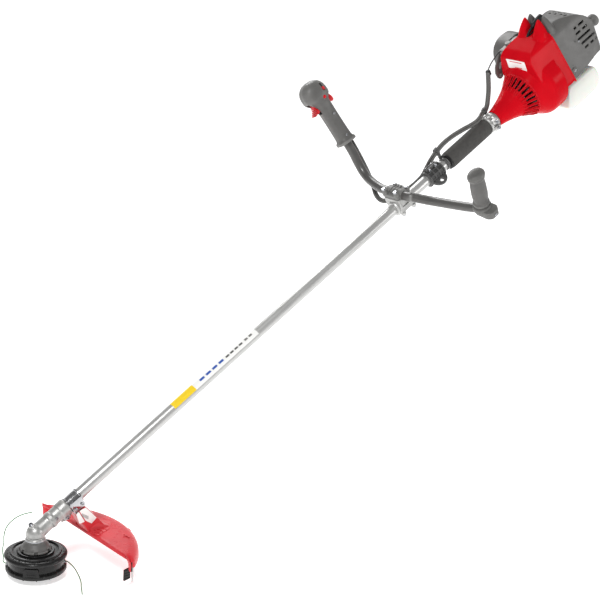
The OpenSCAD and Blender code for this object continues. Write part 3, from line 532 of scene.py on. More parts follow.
def build_head():
    cone = lathe([(5, 58.2), (31, 58.2), (32, 58.8), (32.2, 61.5), (31.4, 63), (30.6, 63.4), (30, 66.5),
                  (28, 70), (25.2, 73.4), (22.6, 75.6), (21.6, 77), (21.4, 79.2), (20.8, 79.4), (9.5, 79.4),
                  (9.5, 74), (5, 74)], 96, ring=True)
    flats = around(block(29, 34, -4, 4, 57, 65), range(0, 360, 60))
    add("head_cone_skin", cut(cone, *flats), HEAD, "grey_plastic", ["head_cone"], body="cutting_head")

    top = lathe([(5, 34), (12, 34), (12, 51.5), (56, 51.5), (56.8, 24.5), (60.2, 24.5), (60.5, 25),
            (60.6, 41.6), (61.5, 43), (64.5, 43.6), (66.2, 45), (67, 47), (67, 49.6), (66, 51.6), (63.8, 53),
            (58, 54.2), (55.4, 54.4), (55, 55), (54.8, 57), (54, 57.8), (50, 58), (49.2, 57.4), (48.6, 55),
            (47, 54.2), (40.5, 54), (39.6, 54.6), (39, 57.6), (38, 58), (34.8, 58), (34, 57), (34, 55.4),
            (12, 55.2), (5, 55)], 120, ring=True)
    eyelets = around(rod(3, 0, 20), EYELETS, place=shift(50, 0, LINE_Z) @ ALONG_X)
    scallops = notches(24, 59, 1.5, 53.2, 56, 7.5)
    windows = around(block(55, 62, -16, 16, 22, 38), reversed(LATCHES))
    add("head_housing_skin", cut(top, *eyelets, *scallops, *windows), HEAD, "black_plastic", ["head_housing"],
            body="cutting_head")
    rings = around(lathe([(3, 0), (5.4, 0), (5.8, 0.6), (5.8, 2.4), (5.2, 3), (3, 3)], 32, ring=True),
            EYELETS, place=shift(59, 0, LINE_Z) @ ALONG_X)
    add("head_eyelets", joined(*rings), HEAD, "bright_steel", body="cutting_head")

    cover = lathe([(30, 9), (44, 9.6), (54, 11), (61, 13), (64.4, 15), (65.2, 17), (65.2, 20.6), (64.4, 22.6),
                   (62.4, 23.8), (61, 23.8), (60.4, 24.4), (52, 24.4), (50, 20), (30, 17)], 120, ring=True)
    grips = around(rod(4.2, 6, 26, 0.5, 20), [a for a in range(15, 375, 30) if a not in (45, 225)],
                   place=shift(68.2, 0, 0))
    tab = prism(rounded([(-18, 22), (18, 22), (17, 30), (14, 41), (-14, 41), (-17, 30)], 2.5), 59.6, 63.4,
            "YZ")
    slot = soften(block(62.7, 66, -9, 9, 28, 34), 0.3)
    tabs = around(cut(soften(tab, 0.8), slot), LATCHES)
    ribs = around(soften(block(40, 56, -0.8, 0.8, 8.6, 12.4), 0.3), range(0, 360, 30))
    add("head_cover_skin", joined(cut(cover, *grips), *tabs, *ribs), HEAD, "black_plastic", ["head_cover"],
            body="cutting_head")

    knob = lathe([(0, 0), (10, 0), (15, 0.5), (20, 1.9), (25, 4.4), (28.4, 7.2), (29.5, 9.4), (29.5, 13),
            (28.6, 14.2), (21, 15.6), (20.8, 16.4), (20.8, 30), (18, 30), (18, 12), (0, 12)], 96)
    lobes = notches(6, 33.6, 6.2, -1, 15.2)
    dish = rod(9, -2, 0.7, 0.3)
    add("tap_knob_skin", cut(knob, *lobes, dish), HEAD, "black_plastic", ["tap_knob"], body="spool")

    wire = 2 * LINE_R
    turns = [lathe([(24.3, z), (43.4, z), (44.2, z + LINE_R), (43.4, z + wire), (24.3, z + wire)], 72,
            ring=True) for z in (25.4, 27.8, 30.2, 32.6, 35.0, 37.4)]
    add("spool_turns", joined(*turns), HEAD, "nylon_line", ["line_winding"], body="spool")

    coil_r, coil_low, coil_height, coil_turns = 14.8, 13.2, 37.4, 7
    angles = [math.tau * i / 20 for i in range(20 * coil_turns + 1)]
    coil = [(coil_r * math.cos(t), coil_r * math.sin(t),
             coil_low + coil_height * t / (coil_turns * 2 * math.pi)) for t in angles]
    add("spool_spring_coil", tube(coil, 1.0, 8), HEAD, "bright_steel", ["spool_spring"], body="cutting_head")


build_head()


# ---- Gearbox ----
def build_gearbox():
    lower = lathe([(0, -15), (21, -15), (21.4, -14.4), (21.4, -10.6), (20.8, -10), (19.2, -9.2), (18.8, -8),
            (18.8, -6.4), (19.8, -5.6), (20.3, -4.6), (20.3, -1), (19.6, 2), (0, 12)], 96)
    lean = turn(-SLOPE, "Y")
    ball = bmesh.new()
    bmesh.ops.create_uvsphere(ball, u_segments=48, v_segments=32, radius=20)
    arm = placed(lathe([(0, 0), (18.4, 0), (17.2, 14), (16.6, 30), (16.8, 36.5), (18.2, 38), (18.6, 39),
            (18.6, 46), (17.8, 47.6), (17.2, 50), (17.2, 66), (18.4, 68), (18.6, 71), (18.6, 84), (18, 87.6),
            (17, 88), (0, 88)], 72), lean @ ALONG_X)
    boss = placed(rod(6.6, 0, 24, 1), lean @ shift(2, 0, 0))
    boss_flange = placed(rod(7.8, 14, 19, 1), lean @ shift(2, 0, 0))
    lug = placed(soften(block(64, 84, -8.5, 8.5, -25, -12), 3, 3), lean)
    body = united(lower, ball, arm, boss, boss_flange, lug)
    bore = placed(rod(ON_TUBE, 41.5, 90, 0.1, 48), lean @ ALONG_X)
    hollow = rod(11, -16, 8, 0.1)
    tunnel = placed(rod(11, 2, 43, 0.1), lean @ ALONG_X)
    slit = placed(block(60, 90, -0.9, 0.9, -27, -10), lean)
    below = rod(26, -40, -15, 0.1)
    casting = moulded(cut(body, bore, hollow, tunnel, slit, below), 0.75, 5)
    add("gearbox_casting", casting, HEAD @ shift(0, 0, GEAR_HEIGHT), "cast_alloy", ["gearbox_case"], 50)

    plug = placed(socket_head(5.2, 3.4), shift(2, 0, 23.9))
    pinch = placed(socket_head(4.4, 4.4), shift(74, -8.4, -19.5) @ turn(90, "X"))
    washer = placed(rod(5.4, 0, 1, 0.2), shift(74, -7.9, -19.5) @ turn(90, "X"))
    lock = placed(socket_head(3.2, 3), shift(52, -16.9, 4) @ turn(90, "X"))
    clip = placed(lathe([(21.2, 0), (22, 0), (22, 1.4), (21.2, 1.4)], 64, ring=True),
                  turn(SLOPE, "Y") @ shift(0, 0, -13.6))
    add("gearbox_screws", joined(plug, pinch, washer, lock, clip), SHAFT, "bright_steel")


build_gearbox()


# ---- Guard and its bracket ----
GUARD_R, GUARD_TOP, CHORD_X, GUARD_WALL, SKIRT = 218, 71, 120, 3, 28
BLADE_TURN = turn(-51, "Z")


def guard_sheet(inset, drop):
    """Rows of points from the straight front edge to the skirt, along the guard's sweep."""
    half = math.acos(CHORD_X / GUARD_R)
    outer = GUARD_R - inset
    rows = []
    steps = 72
    for i in range(steps + 1):
        swing = half * (2 * i / steps - 1)
        inner = CHORD_X / math.cos(swing)
        row = []
        lip = [(inner + inset * 0.6, GUARD_TOP - 6 + drop * 0.4), (inner + 0.6 + inset, GUARD_TOP - 2 - drop),
               (inner + 3 + inset, GUARD_TOP - 0.4 - drop)]
        reach = outer - inner
        crown = [(inner + 3 + (reach - 17) * t, GUARD_TOP - 0.4 + 1.1 * math.sin(math.pi * t) - drop)
                 for t in (0.2, 0.4, 0.6, 0.8)]
        fall = [(outer - 14, GUARD_TOP - 1.6 - drop), (outer - 8, GUARD_TOP - 4.4 - drop),
                (outer - 3, GUARD_TOP - 9.5 - drop * 0.7), (outer - 0.8, GUARD_TOP - 15),
                (outer, GUARD_TOP - 22), (outer, GUARD_TOP - SKIRT)]
        wide = max(0.0, min(1.0, reach / 30))
        for r, z in lip + crown + fall:
            r = inner + (r - inner) * wide if reach < 30 else r
            row.append((min(r, outer) * math.cos(swing), min(r, outer) * math.sin(swing), z))
        rows.append(row)
    return rows


def build_guard():
    outer, under = guard_sheet(0, 0), guard_sheet(GUARD_WALL, GUARD_WALL)
    shell = from_rings([a + list(reversed(b)) for a, b in zip(outer, under)])
    bmesh.ops.remove_doubles(shell, verts=shell.verts, dist=0.01)
    shell = cut(shell, block(60, 240, 172, 260, 0, 120))
    neck = prism(rounded([(124, 66), (92, 121), (113.5, 133.5), (152, 90), (168, 69)], 4), -19, 19, "XZ")
    hollow = prism([(136, 60), (108, 112), (118, 118), (146, 86), (158, 60)], -16, 16, "XZ")
    ridge = prism([(124, 68), (124, 80), (142, 88), (176, 72), (176, 68)], -20, 20, "XZ")
    neck = soften(cut(neck, hollow), 1.2)
    apron = soften(prism([(-44, 128), (-24, 122), (24, 122), (44, 128), (30, 168), (0, 190), (-30, 168)],
            67.5, 72.6), 1)
    for v in apron.verts:
        v.co.x, v.co.y = v.co.y, v.co.x
    bmesh.ops.recalc_face_normals(apron, faces=apron.faces)
    ribs = [soften(prism([(124, 70), (124, 84 - 1.6 * abs(k)), (140, 85 - 2.4 * abs(k)),
            (172 - 6 * abs(k), 71.4)], 7.6 * k - 0.9, 7.6 * k + 0.9, "XZ"), 0.4) for k in range(-5, 6)
            if abs(k) > 2]
    cross = [soften(prism([(-40 + 3 * k, 71), (40 - 3 * k, 71), (40 - 3 * k, 76 - k), (-40 + 3 * k, 76 - k)],
                          134 + 11 * k, 135.6 + 11 * k, "YZ"), 0.4) for k in range(3)]
    soften(ridge, 2)
    mark = joined(soften(block(176, 178, -92, -70, 71.2, 72.6), 0.4),
                  soften(block(168, 178, -82, -80, 71.2, 72.6), 0.4))
    tab = placed(soften(block(213, 219.5, -6, 6, 48, 60), 2), turn(-9, "Z"))
    add("guard_shell", joined(shell, neck, apron, ridge, *ribs, *cross, mark, tab), HEAD, "red_plastic",
            ["guard"], 40, look=red_guard)

    sleeve = lathe([(13.1, 88.6), (16.2, 88.6), (16.6, 89), (16.6, 91.6), (15.4, 92.4), (15.4, 120),
            (16.4, 121), (16.6, 123.6), (16.2, 124), (13.1, 124)], 96, ring=True)
    slot = placed(rod(2.2, 10, 20, 0.1), shift(112, 0, 0))
    wings = [soften(block(90.5, 122, s * 16 - 1.4, s * 16 + 1.4, -21, 6), 0.8) for s in (-1, 1)]
    saddle = soften(block(90.5, 122, -17, 17, -20.6, -16.6), 1)
    add("guard_sleeve", joined(cut(placed(sleeve, ALONG_X), slot), *wings, saddle), SHAFT, "bracket_chrome",
            ["guard_bracket"])
    spots = [shift(x, s * 17.4, -12) @ turn(-90 * s, "X") for x in (97, 115) for s in (-1, 1)]
    add("guard_screws", heads(3.4, 3, spots), SHAFT, "bright_steel")

    outlines = ([(89, 122), (97, 98), (110, 100), (95, 127)],
                [(97, 128), (113, 132.4), (140, 101.5), (127, 91), (112, 102)])
    panels = [soften(prism(rounded(outline, 1.5), -20.3, -19.4, "XZ"), 0.3) for outline in outlines]
    face = soften(placed(block(-12, 12, -19, 2, -0.4, 0.4), shift(124, 0, 122.3) @ turn(48.5, "Y")), 0.3)
    add("neck_label", joined(*panels, face), HEAD, "red_plastic", look=white_label)
    marks = [soften(block(103 + 2.4 * k, 104.2 + 2.4 * k, -20.6, -20.2, 113 - 1.6 * k, 121 - 1.6 * k), 0.1)
            for k in range(7)]
    add("neck_label_marks", joined(*marks), HEAD, "red_plastic", look=grey_plastic)

    blade = soften(prism(rounded([(-1, 9), (4, 9), (13, 30), (14, 52), (-1, 52)], 2), 211.6, 213.4, "YZ"),
            0.4)
    add("cutter_blade", placed(blade, BLADE_TURN), HEAD, "bright_steel", ["line_cutter"], look=cast_alloy)
    grip = placed(soften(block(207, 214.4, -4, 2, 34, 56), 1), BLADE_TURN)
    plate = soften(prism(rounded([(112, 17), (129, 20), (129, 46), (113, 43)], 3), -167, -164, "XZ"), 0.6)
    frame_rim = [soften(block(114, 128, -168, -167, z, z + 2), 0.3) for z in (21, 27, 33, 39)]
    add("cutter_block", joined(grip, plate, *frame_rim), HEAD, "black_plastic", ["cutter_holder"])


build_guard()


# ---- Shaft, stickers, foam grip and harness clamp ----
def sleeve_label(name, spans, look, middle=89, spread=138, r=13.12):
    """Thin labels bent round the tube's upper left side; angles from +Y towards +Z."""
    steps = 24
    under = TUBE_R + 0.02
    parts = []
    for start, end in spans:
        rings = []
        for x in (start, end):
            turns = [math.radians(middle - spread / 2 + spread * k / steps) for k in range(steps + 1)]
            outer = [(x, r * math.cos(a), r * math.sin(a)) for a in turns]
            inner = [(x, under * math.cos(a), under * math.sin(a)) for a in reversed(turns)]
            rings.append(outer + inner)
        parts.append(from_rings(rings))
    add(name, joined(*parts), SHAFT, "tube_silver", look=look)


def build_shaft():
    tube_skin = lathe_x([(11.5, 42), (12.9, 42), (13, 42.4), (13, 1499.6), (12.9, 1500), (11.5, 1500)], 72,
            ring=True)
    add("shaft_tube_skin", tube_skin, SHAFT, "tube_silver", ["shaft_tube"])
    sleeve_label("label_white", [(474, 672)], white_label)
    sleeve_label("label_yellow", [(408, 474)], yellow_label)
    sleeve_label("label_blue", [(494 + 20 * k, 508 + 20 * k) for k in range(4)], blue_label, 110, 26, 13.2)
    sleeve_label("label_dark", [(576 + 14 * k, 586 + 14 * k) for k in range(4)], dark_plastic, 112, 20, 13.2)
    sleeve_label("label_grey", [(636 + 14 * k, 645 + 14 * k) for k in range(2)], grey_plastic, 110, 24, 13.2)

    pad = lathe([(ON_TUBE, 1336), (18.4, 1336), (20.3, 1336.6), (21.4, 1338), (21.8, 1340.4), (21.8, 1476),
            (21, 1478.6), (19.6, 1479.7), (ON_TUBE, 1479.7)], 72, ring=True)
    add("foam_sleeve", placed(pad, ALONG_X), SHAFT, "foam", ["foam_grip"])
    rim = lathe([(13.06, 1331), (18.4, 1331), (20.4, 1331.8), (20.4, 1334.8), (19.2, 1335.8),
            (13.06, 1335.8)], 72, ring=True)
    add("foam_rim", placed(rim, ALONG_X), SHAFT, "black_plastic", look=black_rubber)

    low, high, eye_x, eye_lean, eye_reach = 1258, 1307, 1282, 25, 27
    profile = [(13.06, low)]
    for x in (low, low + 15, high - 19, high - 4):
        profile += [(18.5, x), (20, x), (20.5, x + 0.6), (20.5, x + 3.4), (20, x + 4), (18.5, x + 4)]
    band = lathe(profile + [(13.06, high)], 80, ring=True)
    bolt_x = (1272, 1293)
    ribs = around(soften(block(low + 1, high - 1, -1.1, 1.1, 18, 20.3), 0.5), (30, 62, 94, 126, 158, 190, 300,
            330), "X")
    lean = math.radians(eye_lean)
    eye = shift(eye_x, -eye_reach * math.cos(lean), -eye_reach * math.sin(lean)) @ turn(eye_lean, "X")
    disc = placed(rod(21.4, -3, 3, 0.9, 72), eye @ shift(0, 10, 0))
    rim = placed(lathe([(6, -3.4), (8.6, -3.4), (9, -3), (9, 3), (8.6, 3.4), (6, 3.4)], 48, ring=True), eye)
    webs = [placed(soften(block(s * 13 - 1.2, s * 13 + 1.2, 4, 12, -8, 8), 0.6), eye) for s in (-1, 0, 1)]
    disc = cut(disc, placed(rod(6, -10, 10, 0.01), eye), rod_x(13.1, low - 9, high + 9, 0.1))
    ears = [soften(block(1264, 1301, s * 3.1 - 1.9, s * 3.1 + 1.9, 17, 26), 0.9) for s in (-1, 1)]
    clamp = joined(placed(band, ALONG_X), disc, rim, *webs, *ribs, *ears)
    add("harness_clamp_skin", clamp, SHAFT, "dark_plastic", ["harness_clamp"])
    bolts = heads(3.6, 3.6, [shift(x, -5.1, 21) @ turn(90, "X") for x in bolt_x])
    nuts = [placed(nut(3.8, 3), shift(x, 5.1, 21) @ turn(-90, "X")) for x in bolt_x]
    add("harness_bolts", joined(bolts, *nuts), SHAFT, "bright_steel", ["shaft_screws"])


build_shaft()


# ---- Handlebar and clamp ----
BAR_ROUTE = [LEFT_GRIP_FOOT, (1204, -200, 12), (1190, -110, 14), (1180, -75, 20), (1171, -50, 27),
             (1166, -35, 30), (1166, 45, 30), (1168, 62, 30), (1172, 82, 31), (1177, 102, 33),
             (1183, 122, 38), (1188, 137, 49), (1193, 149, 66), (1198, 160, 89), THROTTLE_FOOT,
             (1206.06, 207.16, 199.69)]
BAR_R, BAR_RISE = 11, 30
CLAMP_SCREWS = [(x, y) for x in (-17.5, 17.5) for y in (-20, 20)]


def build_bar():
    add("bar_tube", tube(spline(BAR_ROUTE, 8), BAR_R, 40), SHAFT, "bar_paint", ["handlebar"])
    barrel = lathe_x([(ON_TUBE, -26), (17.6, -26), (19, -24.6), (19, 24.6), (17.6, 26), (ON_TUBE, 26)], 64,
            ring=True)
    body = united(soften(block(-22, 22, -26, 26, 2, BAR_RISE - 1), 2.5, 3),
                  soften(block(-24, 24, -24, 24, -9, 3), 2.5, 3))
    pockets = [soften(block(-16, 16, s * 30 - 8, s * 30 + 8, 6, 20), 1.5) for s in (-1, 1)]
    fronts = [soften(block(s * 28 - 8, s * 28 + 8, -9, 9, 8, 20), 1.5) for s in (-1, 1)]
    bar_hole = rod_y(11.05, -40, 40, 0.01, 48, at=(0, BAR_RISE))
    tube_hole = rod_x(13.06, -40, 40, 0.01, 48)
    base = cut(body, *pockets, *fronts, bar_hole, tube_hole)
    webs = [soften(block(-20, 20, y - 1.2, y + 1.2, -17, -8), 0.6) for y in (-12, 0, 12)]
    base = joined(moulded(base, 0.8, 3), barrel, *webs)
    feet = [placed(rod(6.5, -15, -8, 1), shift(x, y, 0)) for x, y in CLAMP_SCREWS]
    add("bar_clamp_base", joined(base, *feet), BAR, "cast_alloy", ["clamp_base"], 45)

    saddle = united(soften(block(-22, 22, -26, 26, BAR_RISE + 0.3, BAR_RISE + 9.8), 2, 3),
                    rod_y(15.8, -26, 26, 2, at=(0, BAR_RISE)))
    saddle = cut(saddle, rod_y(11.06, -40, 40, 0.01, 48, at=(0, BAR_RISE)),
                 block(-40, 40, -40, 40, BAR_RISE - 20, BAR_RISE + 0.3))
    humps = [placed(lathe([(0, 8), (7.4, 8), (6.6, 13), (5.2, 17), (4.4, 18.6), (0, 19)], 32),
            shift(-16, s * 19, BAR_RISE)) for s in (-1, 1)]
    ridges = [soften(block(-14, 14, y - 1, y + 1, BAR_RISE + 12, BAR_RISE + 17), 0.5) for y in (-9, 0, 9)]
    add("bar_clamp_saddle", joined(saddle, *humps, *ridges), BAR, "dark_plastic", ["clamp_saddle"],
            look=grey_plastic)
    caps = heads(4.6, 4.6, [shift(x, y, BAR_RISE + (18.8 if x < 0 else 9.6)) for x, y in CLAMP_SCREWS])
    ends = [placed(nut(4.6, 4), shift(x, y, -19)) for x, y in CLAMP_SCREWS]
    add("bar_clamp_bolts", joined(caps, *ends), BAR, "bright_steel")


build_bar()


# ---- Grips and controls ----
def ovals(sections, sides=64, power=2.3):
    """Skin over oval sections (z, centre x, half x, half y), slightly squared."""
    rings = []
    for z, cx, rx, ry in sections:
        ring = []
        for i in range(sides):
            t = math.tau * i / sides
            c, s = math.cos(t), math.sin(t)
            k = (abs(c) ** power + abs(s) ** power) ** (-1 / power)
            ring.append((cx + rx * c * k, ry * s * k, z))
        rings.append(ring)
    return from_rings(rings)


def build_left_grip():
    end_cap, end_squash = 96, 0.2
    profile = [(0, -13), (13, -13), (16, -12), (18, -9), (19, -3), (21.4, -1), (22, 0.6), (22, 8),
            (21.4, 9.8), (18.2, 12.4), (17, 13.6), (16.8, 14.6), (18.8, 15.6), (19.5, 17), (19.5, 21.4),
            (18.4, 23.6), (17, 26), (17.3, 30), (18.8, 44), (19, 52), (18.6, 74), (17.4, 90), (17, 96),
            (18, 97.4), (21, 99.4), (22.4, 102), (23, 106), (22.4, 109.4), (20.4, 112.4), (17, 114.4),
            (10, 115.7), (5, 116), (0, 116)]
    grip = lathe(profile, 80)
    for v in grip.verts:
        if v.co.z > end_cap:
            v.co.y *= 1 - end_squash * min(1, (v.co.z - end_cap) / 5)
    flute = tube([(19.6, 0, 32), (20.2, 0, 56), (19.2, 0, 86)], 1.2, 10)
    grip = cut(grip, *around(flute, range(20, 380, 45)))
    boss = soften(prism(rounded([(-17, 0), (-16, -26), (-8, -37), (12, -38), (21, -27), (19, 0)], 4), -12, 7),
            2.4, 3)
    add("left_grip_skin", joined(grip, boss), LEFT_GRIP, "grey_rubber", ["left_grip"], 38)
    screw = placed(socket_head(3.6, 2), shift(2, -37.2, -3) @ turn(90, "X"))
    add("left_grip_screw", screw, LEFT_GRIP, "bright_steel")


def build_throttle():
    body = ovals([(0, 0, 22.6, 22.6), (1, 0, 23.8, 23.8), (5.4, 0, 24, 24), (7.4, 0, 23, 23),
            (10, 0, 20.6, 20.6), (14, 0, 19.2, 19), (30, 0, 18.8, 18.4), (60, 0, 18.6, 17.8),
            (86, 0, 18.8, 17.6), (100, -0.5, 19.4, 18), (110, -2.4, 21, 19.4), (117, -5, 23.6, 22),
            (122, -5.4, 28, 24.6), (127, -5.4, 32, 26.8), (132, -5, 34, 27.6), (142, -5.4, 34, 27.8),
            (152, -5.6, 32.4, 27.4), (160, -5.4, 28.6, 25.4), (166, -5, 23.4, 21.8), (170.6, -4.4, 17, 16.4),
            (173.2, -4, 9, 8)], 64, 2.9)
    cable_exit = placed(rod(5.4, -2, 7, 0.1), shift(15.9, 6.8, 0))
    body = cut(body, block(-50, -11.3, -7.5, 7.5, 91, 128), block(-29, -11.3, -7.5, 7.5, 127, 138),
               block(11.3, 40, -6.5, 6.5, 97, 138), rod(11.2, -2, 97, 0.1), cable_exit,
               rod_y(4.7, -40, -10, 0.1, at=(2, 125)), block(8, 13, -40, -10, 138, 158),
               rod(14.5, 96, 150, 0.1))
    for side, name in ((-1, "throttle_housing_left"), (1, "throttle_housing_right")):
        half = body.copy()
        bmesh.ops.bisect_plane(half, geom=half.verts[:] + half.edges[:] + half.faces[:],
                plane_co=(0, side * 0.12, 0), plane_no=(0, -side, 0), clear_outer=True)
        edges = [e for e in half.edges if e.is_boundary]
        bmesh.ops.holes_fill(half, edges=edges)
        add(name + "_skin", half, THROTTLE, "grey_plastic", [name], 40)
    body.free()
    spots = ((0, -19.2, 18), (3, -18.8, 78), (-20, -22.4, 144))
    screws = heads(2.8, 1.4, [shift(*spot) @ turn(90, "X") for spot in spots])
    add("throttle_screws", screws, THROTTLE, "bright_steel")

    lever = prism(rounded([(-14, 137), (-6, 137), (-5, 130), (-10, 122), (-16, 101), (-24, 97.4), (-36, 95.4),
            (-42, 96.6), (-40, 100), (-33, 109), (-29, 118), (-27, 127)], 2), -6.8, 6.8, "XZ")
    grooves = [common(block(-46, -20, -8, 8, 96.4 + 3.6 * k, 97.6 + 3.6 * k),
                      block(-60, -27 + 1.2 * k, -9, 9, 80, 130)) for k in range(5)]
    pin = rod_y(1.55, -12, 12, 0.01, 24, at=(-10, 134))
    add("trigger_skin", soften(cut(soften(lever, 1.4, 3), *grooves, pin), 0.25, 1, 60), THROTTLE,
            "red_control", ["throttle_trigger"], body="throttle_trigger")
    paddle = prism(rounded([(6, 136.5), (13, 136.5), (26, 126), (32, 113), (31.4, 103.6), (25, 102),
            (19, 108), (14, 118), (6, 129)], 3), -5.8, 5.8, "XZ")
    pin = rod_y(1.55, -12, 12, 0.01, 24, at=(9, 133))
    add("lockout_skin", cut(soften(paddle, 1.4, 3), pin), THROTTLE, "red_control", ["lockout_lever"],
            body="lockout_lever")
    button = placed(lathe([(0, -28.4), (2.6, -28.2), (3.8, -27.4), (4.2, -26), (4.2, -16.6), (0, -16.6)], 32),
                    shift(2, 0, 125) @ ALONG_Y)
    add("latch_button_skin", button, THROTTLE, "red_control", ["latch_button"], body="latch_button")
    slider = soften(block(8.4, 12.6, -31, -19, 140, 148), 0.8)
    teeth = [soften(block(8.6, 12.4, -31.6, -30.6, 141 + 2 * k, 142 + 2 * k), 0.2) for k in range(3)]
    add("stop_switch_skin", joined(slider, *teeth), THROTTLE, "dark_plastic", ["stop_switch"],
            body="stop_switch", look=red_control)


build_left_grip()
build_throttle()


# ---- Throttle conduit, cable and clips ----
CONDUIT_ROUTE = [(1217, 180.4, 118.4), (1216.3, 175.1, 106), (1214, 167, 87), (1210, 156, 60),
        (1200, 137, 36), (1184, 112, 16), (1165, 86, 4), (1160, 66, -4), (1172, 50, -9), (1195, 40, -10),
        (1240, 34, -10), (1270, 31, -6), (1288, 27, 6), (1304, 20, 21), (1324.5, 14.5, 32.5),
        (1350, 12, 39.5), (1381, 9, 40), (1411, 6, 36.5), (1440, 4, 31), (1460, 3, 28.6), (1476, 6, 28),
        (1490, 14, 26), (1500, 20, 22.5), (1509, 22, 21.2), (1524, 26, 27), (1538, 30, 40), (1553, 34, 58),
        (1569, 35, 95)]
THROTTLE_CABLE = [(1569, 35, 96), (1580, 40, 98), (1601, 48, 99.6), (1637, 60, 98.4), (1661, 69, 90)]
TOWARDS_VIEWER = Vector((0.381, 0.735, -0.563))
SLEEVE_FROM = 1506


def twin(path, side, offset, radius):
    """One of two thin tubes that run side by side along a path."""
    moved = []
    for i, p in enumerate(path):
        ahead = path[min(i + 1, len(path) - 1)] - path[max(i - 1, 0)]
        moved.append(p + ahead.cross(TOWARDS_VIEWER).normalized() * side * offset)
    return tube(moved, radius, 18)


def build_conduit():
    path = spline(CONDUIT_ROUTE, 8)
    upper = [p for p in path if p.x < SLEEVE_FROM]
    sleeve = [p for p in path if p.x > SLEEVE_FROM - 8 and p.z > 20]
    add("conduit_sleeve", joined(twin(upper, -1, 2.9, 2.95), twin(upper, 1, 2.9, 2.95),
            tube(sleeve, 5.9, 28)), SHAFT, "grey_rubber", ["throttle_conduit"], 60)
    top = path[-1]
    ferrule = tube([top - Vector((0, 0, 9)), top + Vector((0, 0, 1)), top + Vector((0, 0, 4))],
            [6.4, 6.2, 3.2], 24)
    add("throttle_cable", joined(ferrule, tube(spline(THROTTLE_CABLE, 8), 1.5, 12)), SHAFT, "black_rubber")

    band = lathe_x([(ON_TUBE, 1321), (15.4, 1321), (16, 1321.6), (16, 1327.4), (15.4, 1328), (ON_TUBE, 1328)],
            64, ring=True)
    post = soften(block(1321.2, 1327.8, 5.4, 12, 13, 28), 1.2)
    loop = placed(lathe([(7, 1321), (8.8, 1321), (9.4, 1321.8), (9.4, 1327.2), (8.8, 1328), (7, 1328)], 40,
            ring=True), shift(0, 14.5, 32.5) @ ALONG_X)
    nub = soften(block(1321.4, 1327.6, 8, 15, 40.6, 46), 1.6)
    tie = placed(lathe([(6.7, 1503), (7.9, 1503), (8.2, 1503.5), (8.2, 1507.5), (7.9, 1508), (6.7, 1508)], 36,
            ring=True), shift(0, 21.5, 21.8) @ ALONG_X)
    lock = soften(block(1502.4, 1508.6, 15, 22, 28, 34), 0.8)
    add("conduit_strap", joined(band, post, loop, nub, tie, lock), SHAFT, "black_plastic", ["conduit_clips"],
            look=dark_plastic)


build_conduit()


# ---- Engine collar ----
def build_collar():
    neck = lathe_x([(ON_TUBE, 0), (19, 0), (21, 0.8), (22, 2.6), (22, 6.6), (20.4, 8), (19.6, 10), (19.6, 17),
            (20.6, 19), (22, 20.4), (22, 25), (21, 27.4), (19.5, 29), (19.5, 60), (28, 92), (37, 103),
            (37, 108), (34.5, 108), (34.5, 105), (22, 90), (ON_TUBE, 88)], 80, ring=True)
    bosses = [soften(block(5, 25, -26, -10, z * 9 - 5.4, z * 9 + 5.4), 3, 3) for z in (-1, 1)]
    ribs = around(soften(block(7, 24, -1.2, 1.2, 18, 22.6), 0.6), (-60, -20, 20, 180, 140), "X")
    add("collar_casting", joined(neck, *bosses, *ribs), ENGINE, "cast_alloy", ["engine_collar"], 40)
    spots = [shift(15, -26, z * 9) @ turn(90, "X") for z in (-1, 1)]
    add("collar_screws", heads(4, 3.6, spots), ENGINE, "bright_steel")


build_collar()


# ---- Red front cover ----
PARTING, REAR, WALL = 248, 385, 2.5
SIDE = [(-81, -22), (-47, 106), (-30, 121), (30, 121), (47, 106), (81, -22)]


def narrowed(outline, inset):
    return [(y - math.copysign(inset, y), z - inset if z > 0 else z) for y, z in outline]


def cover_body(d):
    cone = lathe_x([(0, 30 - d), (22 - d, 30 - d), (24.5 - d, 46), (28 - d, 61), (32 - d, 76), (37.2 - d, 91),
            (43 - d, 106), (49.6 - d, 119), (57 - d, 131), (60 - d, 138), (69 - d, 152), (77.4 - d, 163),
            (82 - d, 171), (84 - d, 180), (84 - d, 215), (0, 215)], 96)
    across = prism(rounded(narrowed(SIDE, d), 9), 140, PARTING + d, "YZ")
    side = prism(rounded([(152 + d, 40), (152 + d, 94 - d), (166, 106 - d), (224, 122 - d),
            (PARTING + 1, 126 - d), (PARTING + 1, -26 - d), (204, -68), (190, -76), (168 + d, 0)], 6), -90,
            90, "XZ")
    return united(cone, common(across, side))


# Each row of an ear: height, centre x, half length, half width, distance from the middle
EAR = ((104, 224, 26, 18.5, 24), (114, 227, 22.5, 18.5, 24), (124, 230, 18.6, 16.5, 24),
        (134, 232.6, 14.6, 12.6, 23.6), (143, 235, 10.6, 8.4, 23), (150, 237, 6.8, 4.8, 22.4),
        (154.6, 238.4, 3.6, 2.2, 22), (156, 239, 1.4, 0.9, 22))


def ear(side, front=True):
    """Pointed ear on the front cover, or its grey back half on the shroud."""
    sides = 32
    rings = []
    for z, cx, rx, ry, cy in EAR:
        ring = []
        for i in range(sides):
            t = math.tau * i / sides
            if front:
                x = min(cx + rx * math.cos(t), PARTING - 0.5)
            else:
                x = max(PARTING + 10 + rx * 0.8 * math.cos(t), PARTING + 0.4)
            ring.append((x, side * cy - 3 + ry * math.sin(t), z if front else z * 0.985))
        rings.append(ring)
    return from_rings(rings)


